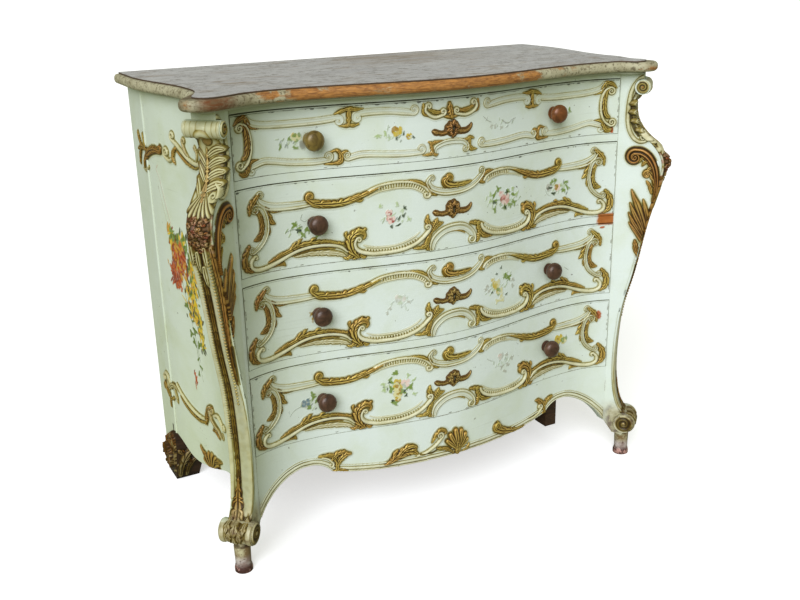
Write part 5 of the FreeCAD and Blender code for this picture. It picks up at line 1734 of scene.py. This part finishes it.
def side_foot(p):
    """Scrolls and leaves above the lower edge."""
    lower = 0.45
    p.leaf(scroll([(138, 240, 2), (150, 250, 6), (168, 256, 7), (186, 268, 7), (192, 286, 6)], (9, -1, 1.2),
                  (11, 1, 1.2)), 5.0, 4, -1, gild=lower)
    p.bead(scroll([(124, 268, 3), (134, 280, 4), (150, 288, 4), (168, 282, 4)], (8, -1, 1.2), None), 5.2, 0.2)
    p.leaf([(176, 300, 3), (194, 290, 8), (206, 268, 9), (212, 246, 3)], 5.6, 4, tone=0.3)
    p.leaf([(150, 232, 2), (158, 240, 5), (172, 246, 5), (182, 240, 2)], 5.0, 2, tone=0.3)
    p.bead([(206, 258, 3), (232, 254, 4.5), (262, 258, 5), (292, 268, 5), (322, 284, 4), (344, 300, 3)],
           4.6, 0.2)
    p.leaf([(214, 248, 2), (240, 244, 5), (270, 248, 6), (300, 258, 5), (330, 274, 2)], 4.0, 6, 1, tone=0.2)
    p.leaf(scroll([(330, 284, 3), (352, 289, 6), (376, 285, 8), (396, 272, 8)], None, (11, 1, 1.0)),
           5.4, 5, -1, 1.3, gild=lower)
    p.leaf(scroll([(372, 252, 3), (392, 245, 7), (416, 250, 9), (432, 266, 8)], None, (10, -1, 0.9)),
           5.0, 5, 1, tone=0.2)
    p.bead(scroll([(388, 289, 3), (404, 298, 4), (424, 300, 4), (440, 292, 4)], None, (8, -1, 1.1)), 5.0, 0.3)
    p.leaf([(396, 251, 5), (402, 235, 7), (404, 217, 2)], 4.6, 3, tone=0.3)
    p.leaf([(360, 277, 4), (352, 263, 6), (350, 247, 2)], 4.4, 3, gild=lower)


def side_shell(p):
    """Small shell on the lower edge, between two leaves."""
    p.fan(200, 132, 46, 90, 82, 7, 6.0, ink=0.5, tone=0.35)
    p.leaf([(150, 172, 2), (174, 164, 7), (196, 152, 5)], 5.0, 3, tone=0.35)
    p.leaf([(252, 176, 2), (236, 162, 7), (214, 152, 5)], 5.0, 3, tone=0.35)


def side_solid(p, sign, key):
    """Places where the panel or the rear post lies at the level of the side."""
    level = far_out - side_x(p.u)
    panel = cast_from_side(key + "_side_panel", sign, p)
    post = cast_from_side(key + "_rear_post", sign, p)
    return (np.abs(panel - level) < 1.5) | (np.abs(post - level) < 4.5)


def dress_sides():
    """Carving of both side panels and rear posts."""
    p = Patch(70, 504, 100, 940, 1.4)
    side_top(p)
    side_foot(p)
    side_shell(p)
    side_bouquet(p, np.random.default_rng(90))
    p.age(95)
    p.cover *= np.clip(1 - p.height, 0, 1)
    for sign, key in both_sides:
        p.build(key + "_side_carving", on_side(sign), "carcase", celadon, "celadon_paint",
                side_solid(p, sign, key))


# Rear feet: dark carved wood

def leafage(p, rng, count, across, upright):
    """Lumps of leafage strewn over a foot."""
    for _ in range(count):
        u, v = rng.uniform(*across), rng.uniform(*upright)
        a = rng.uniform(0, math.pi)
        size = rng.uniform(7, 15)
        du, dv = size * math.cos(a), size * math.sin(a)
        p.leaf([(u - du, v - dv, 3), (u, v, rng.uniform(5, 8)), (u + du, v + dv, 1.5)],
               rng.uniform(4, 8), 2, tone=rng.uniform(0, 1), ink=0.7, gild=rng.uniform(0.2, 1))


def rear_foot_relief():
    """Scroll and leafage on the outer side of a rear foot."""
    p = Patch(409, 505, 4, 166, 1.2)
    p.leaf(scroll([(424, 150, 6), (446, 146, 9), (468, 134, 10), (482, 112, 10), (482, 88, 9)], None,
                  (26, -1, 1.6)), 8.0, strands=1.5, ink=0.5)
    leafage(p, np.random.default_rng(33), 70, (412, 502), (20, 162))
    p.age(96, 1.4)
    p.soil(16.0, 0.6, 5)
    return p


def foot_front_relief():
    """Curled leaf and leafage on the front of a rear foot."""
    p = Patch(456, 538, 4, 150, 1.2)
    p.leaf(scroll([(528, 12, 6), (524, 40, 11), (514, 66, 13), (500, 86, 12)], None, (15, 1, 1.2)), 9.0, 6, 1,
           ink=0.6, gild=0.45)
    p.leaf([(512, 10, 5), (506, 34, 9), (494, 52, 8), (480, 60, 3)], 7.0, 4, 1, ink=0.6, gild=0.5)
    leafage(p, np.random.default_rng(35), 22, (466, 530), (14, 140))
    p.age(97, 1.4)
    p.soil(16.0, 0.5, 6)
    return p


def build_foot_side(sign, key):
    """Outer side of a rear foot, found by rays and left free where the case covers it."""
    p = rear_foot_relief()
    level = far_out - cast_from_side(key + "_rear_foot", sign, p)
    solid = ~np.isnan(level)
    p.hold(side_limit - np.nan_to_num(level))
    for cover in ("_rear_post", "_side_panel"):
        solid &= np.isnan(cast_from_side(key + cover, sign, p))

    @surface(sign < 0)
    def place(u, v, h):
        return np.stack([sign * (level[p.cell(u, v)] + h), u + depth_origin, v], -1)
    p.build(key + "_rear_foot_carving", place, "carcase", dark_relief, "dark_wood", solid)


def build_foot_front(sign, key):
    """Front of a rear foot, found by rays and left free where the post covers it."""
    p = foot_front_relief()
    starts = np.stack([sign * p.u, 0 * p.u - far_out, p.v], -1)
    depth = cast(key + "_rear_foot", starts, (0.0, 1.0, 0.0), 1200.0) - far_out
    post = cast(key + "_rear_post", starts, (0.0, 1.0, 0.0), 1200.0)

    @surface(sign < 0)
    def place(u, v, h):
        return np.stack([sign * u, depth[p.cell(u, v)] - h, v], -1)
    p.build(key + "_rear_foot_leaf", place, "carcase", dark_relief, "dark_wood",
            ~np.isnan(depth) & np.isnan(post))


for sign, key in both_sides:
    build_foot_front(sign, key)
    build_foot_side(sign, key)
dress_sides()


# Floor, light and camera

def soft_floor():
    """Pale floor: what the camera sees is lifted, and what it gives back to the object is not."""
    s = Shader("studio_floor")
    rays = s.tree.nodes.new("ShaderNodeLightPath")
    seen = rays.outputs["Is Camera Ray"]
    s.set(color=s.mix(seen, floor_bounce, floor_shade), rough=0.9, spec=0.0)
    s.link(seen, s.surface.inputs["Emission Strength"])
    s.surface.inputs["Emission Color"].default_value = floor_lift
    return s.material


def floor():
    size = 60.0
    mesh = bpy.data.meshes.new("studio_floor")
    mesh.from_pydata([(-size, -size, 0), (size, -size, 0), (size, size, 0), (-size, size, 0)], [],
                     [(0, 1, 2, 3)])
    ground = bpy.data.objects.new("studio_floor", mesh)
    bpy.context.scene.collection.objects.link(ground)
    mesh.materials.append(soft_floor())


def world():
    """Soft light from all round; the camera and rays through glass see near white."""
    studio = bpy.data.worlds.new("studio")
    studio.use_nodes = True
    tree = studio.node_tree
    tree.nodes.clear()
    out = tree.nodes.new("ShaderNodeOutputWorld")
    soft = tree.nodes.new("ShaderNodeBackground")
    soft.inputs["Color"].default_value = sky_tint
    soft.inputs["Strength"].default_value = sky_strength
    white = tree.nodes.new("ShaderNodeBackground")
    white.inputs["Color"].default_value = colour(252, 252, 252)
    rays = tree.nodes.new("ShaderNodeLightPath")
    seen = tree.nodes.new("ShaderNodeMath")
    seen.operation = "ADD"
    seen.use_clamp = True
    tree.links.new(rays.outputs["Is Camera Ray"], seen.inputs[0])
    tree.links.new(rays.outputs["Is Transmission Ray"], seen.inputs[1])
    mixer = tree.nodes.new("ShaderNodeMixShader")
    tree.links.new(seen.outputs[0], mixer.inputs[0])
    tree.links.new(soft.outputs[0], mixer.inputs[1])
    tree.links.new(white.outputs[0], mixer.inputs[2])
    tree.links.new(mixer.outputs[0], out.inputs[0])
    bpy.context.scene.world = studio


def lamp(name, from_direction, power, softness, tone):
    """Distant light with soft shadows; from_direction points towards it."""
    light = bpy.data.lights.new(name, "SUN")
    light.energy = power
    light.angle = math.radians(softness)
    light.color = tone
    holder = bpy.data.objects.new(name, light)
    bpy.context.scene.collection.objects.link(holder)
    holder.rotation_euler = Vector(from_direction).to_track_quat("Z", "Y").to_euler()


def camera():
    """Camera fitted to the photograph, from its place, three angles and focal length."""
    yaw, down, roll = map(math.radians, (camera_yaw, camera_down, camera_roll))
    ahead = Vector((math.sin(yaw) * math.cos(down), math.cos(yaw) * math.cos(down), -math.sin(down)))
    level = Vector((math.cos(yaw), -math.sin(yaw), 0))
    up = level.cross(ahead)
    right = level * math.cos(roll) + up * math.sin(roll)
    top = up * math.cos(roll) - level * math.sin(roll)
    data = bpy.data.cameras.new("photo_camera")
    data.sensor_width = sensor_width
    data.lens = focal_pixels / image_width * sensor_width
    holder = bpy.data.objects.new("photo_camera", data)
    bpy.context.scene.collection.objects.link(holder)
    turn = Matrix((right, top, -ahead)).transposed().to_4x4()
    holder.matrix_world = Matrix.Translation(camera_place) @ turn
    bpy.context.scene.camera = holder


floor()
world()
lamp("key", (-0.655, -0.755, 0.62), 2.9, 44, (0.96, 0.98, 1.03))
camera()
bpy.context.scene.view_settings.view_transform = "Standard"
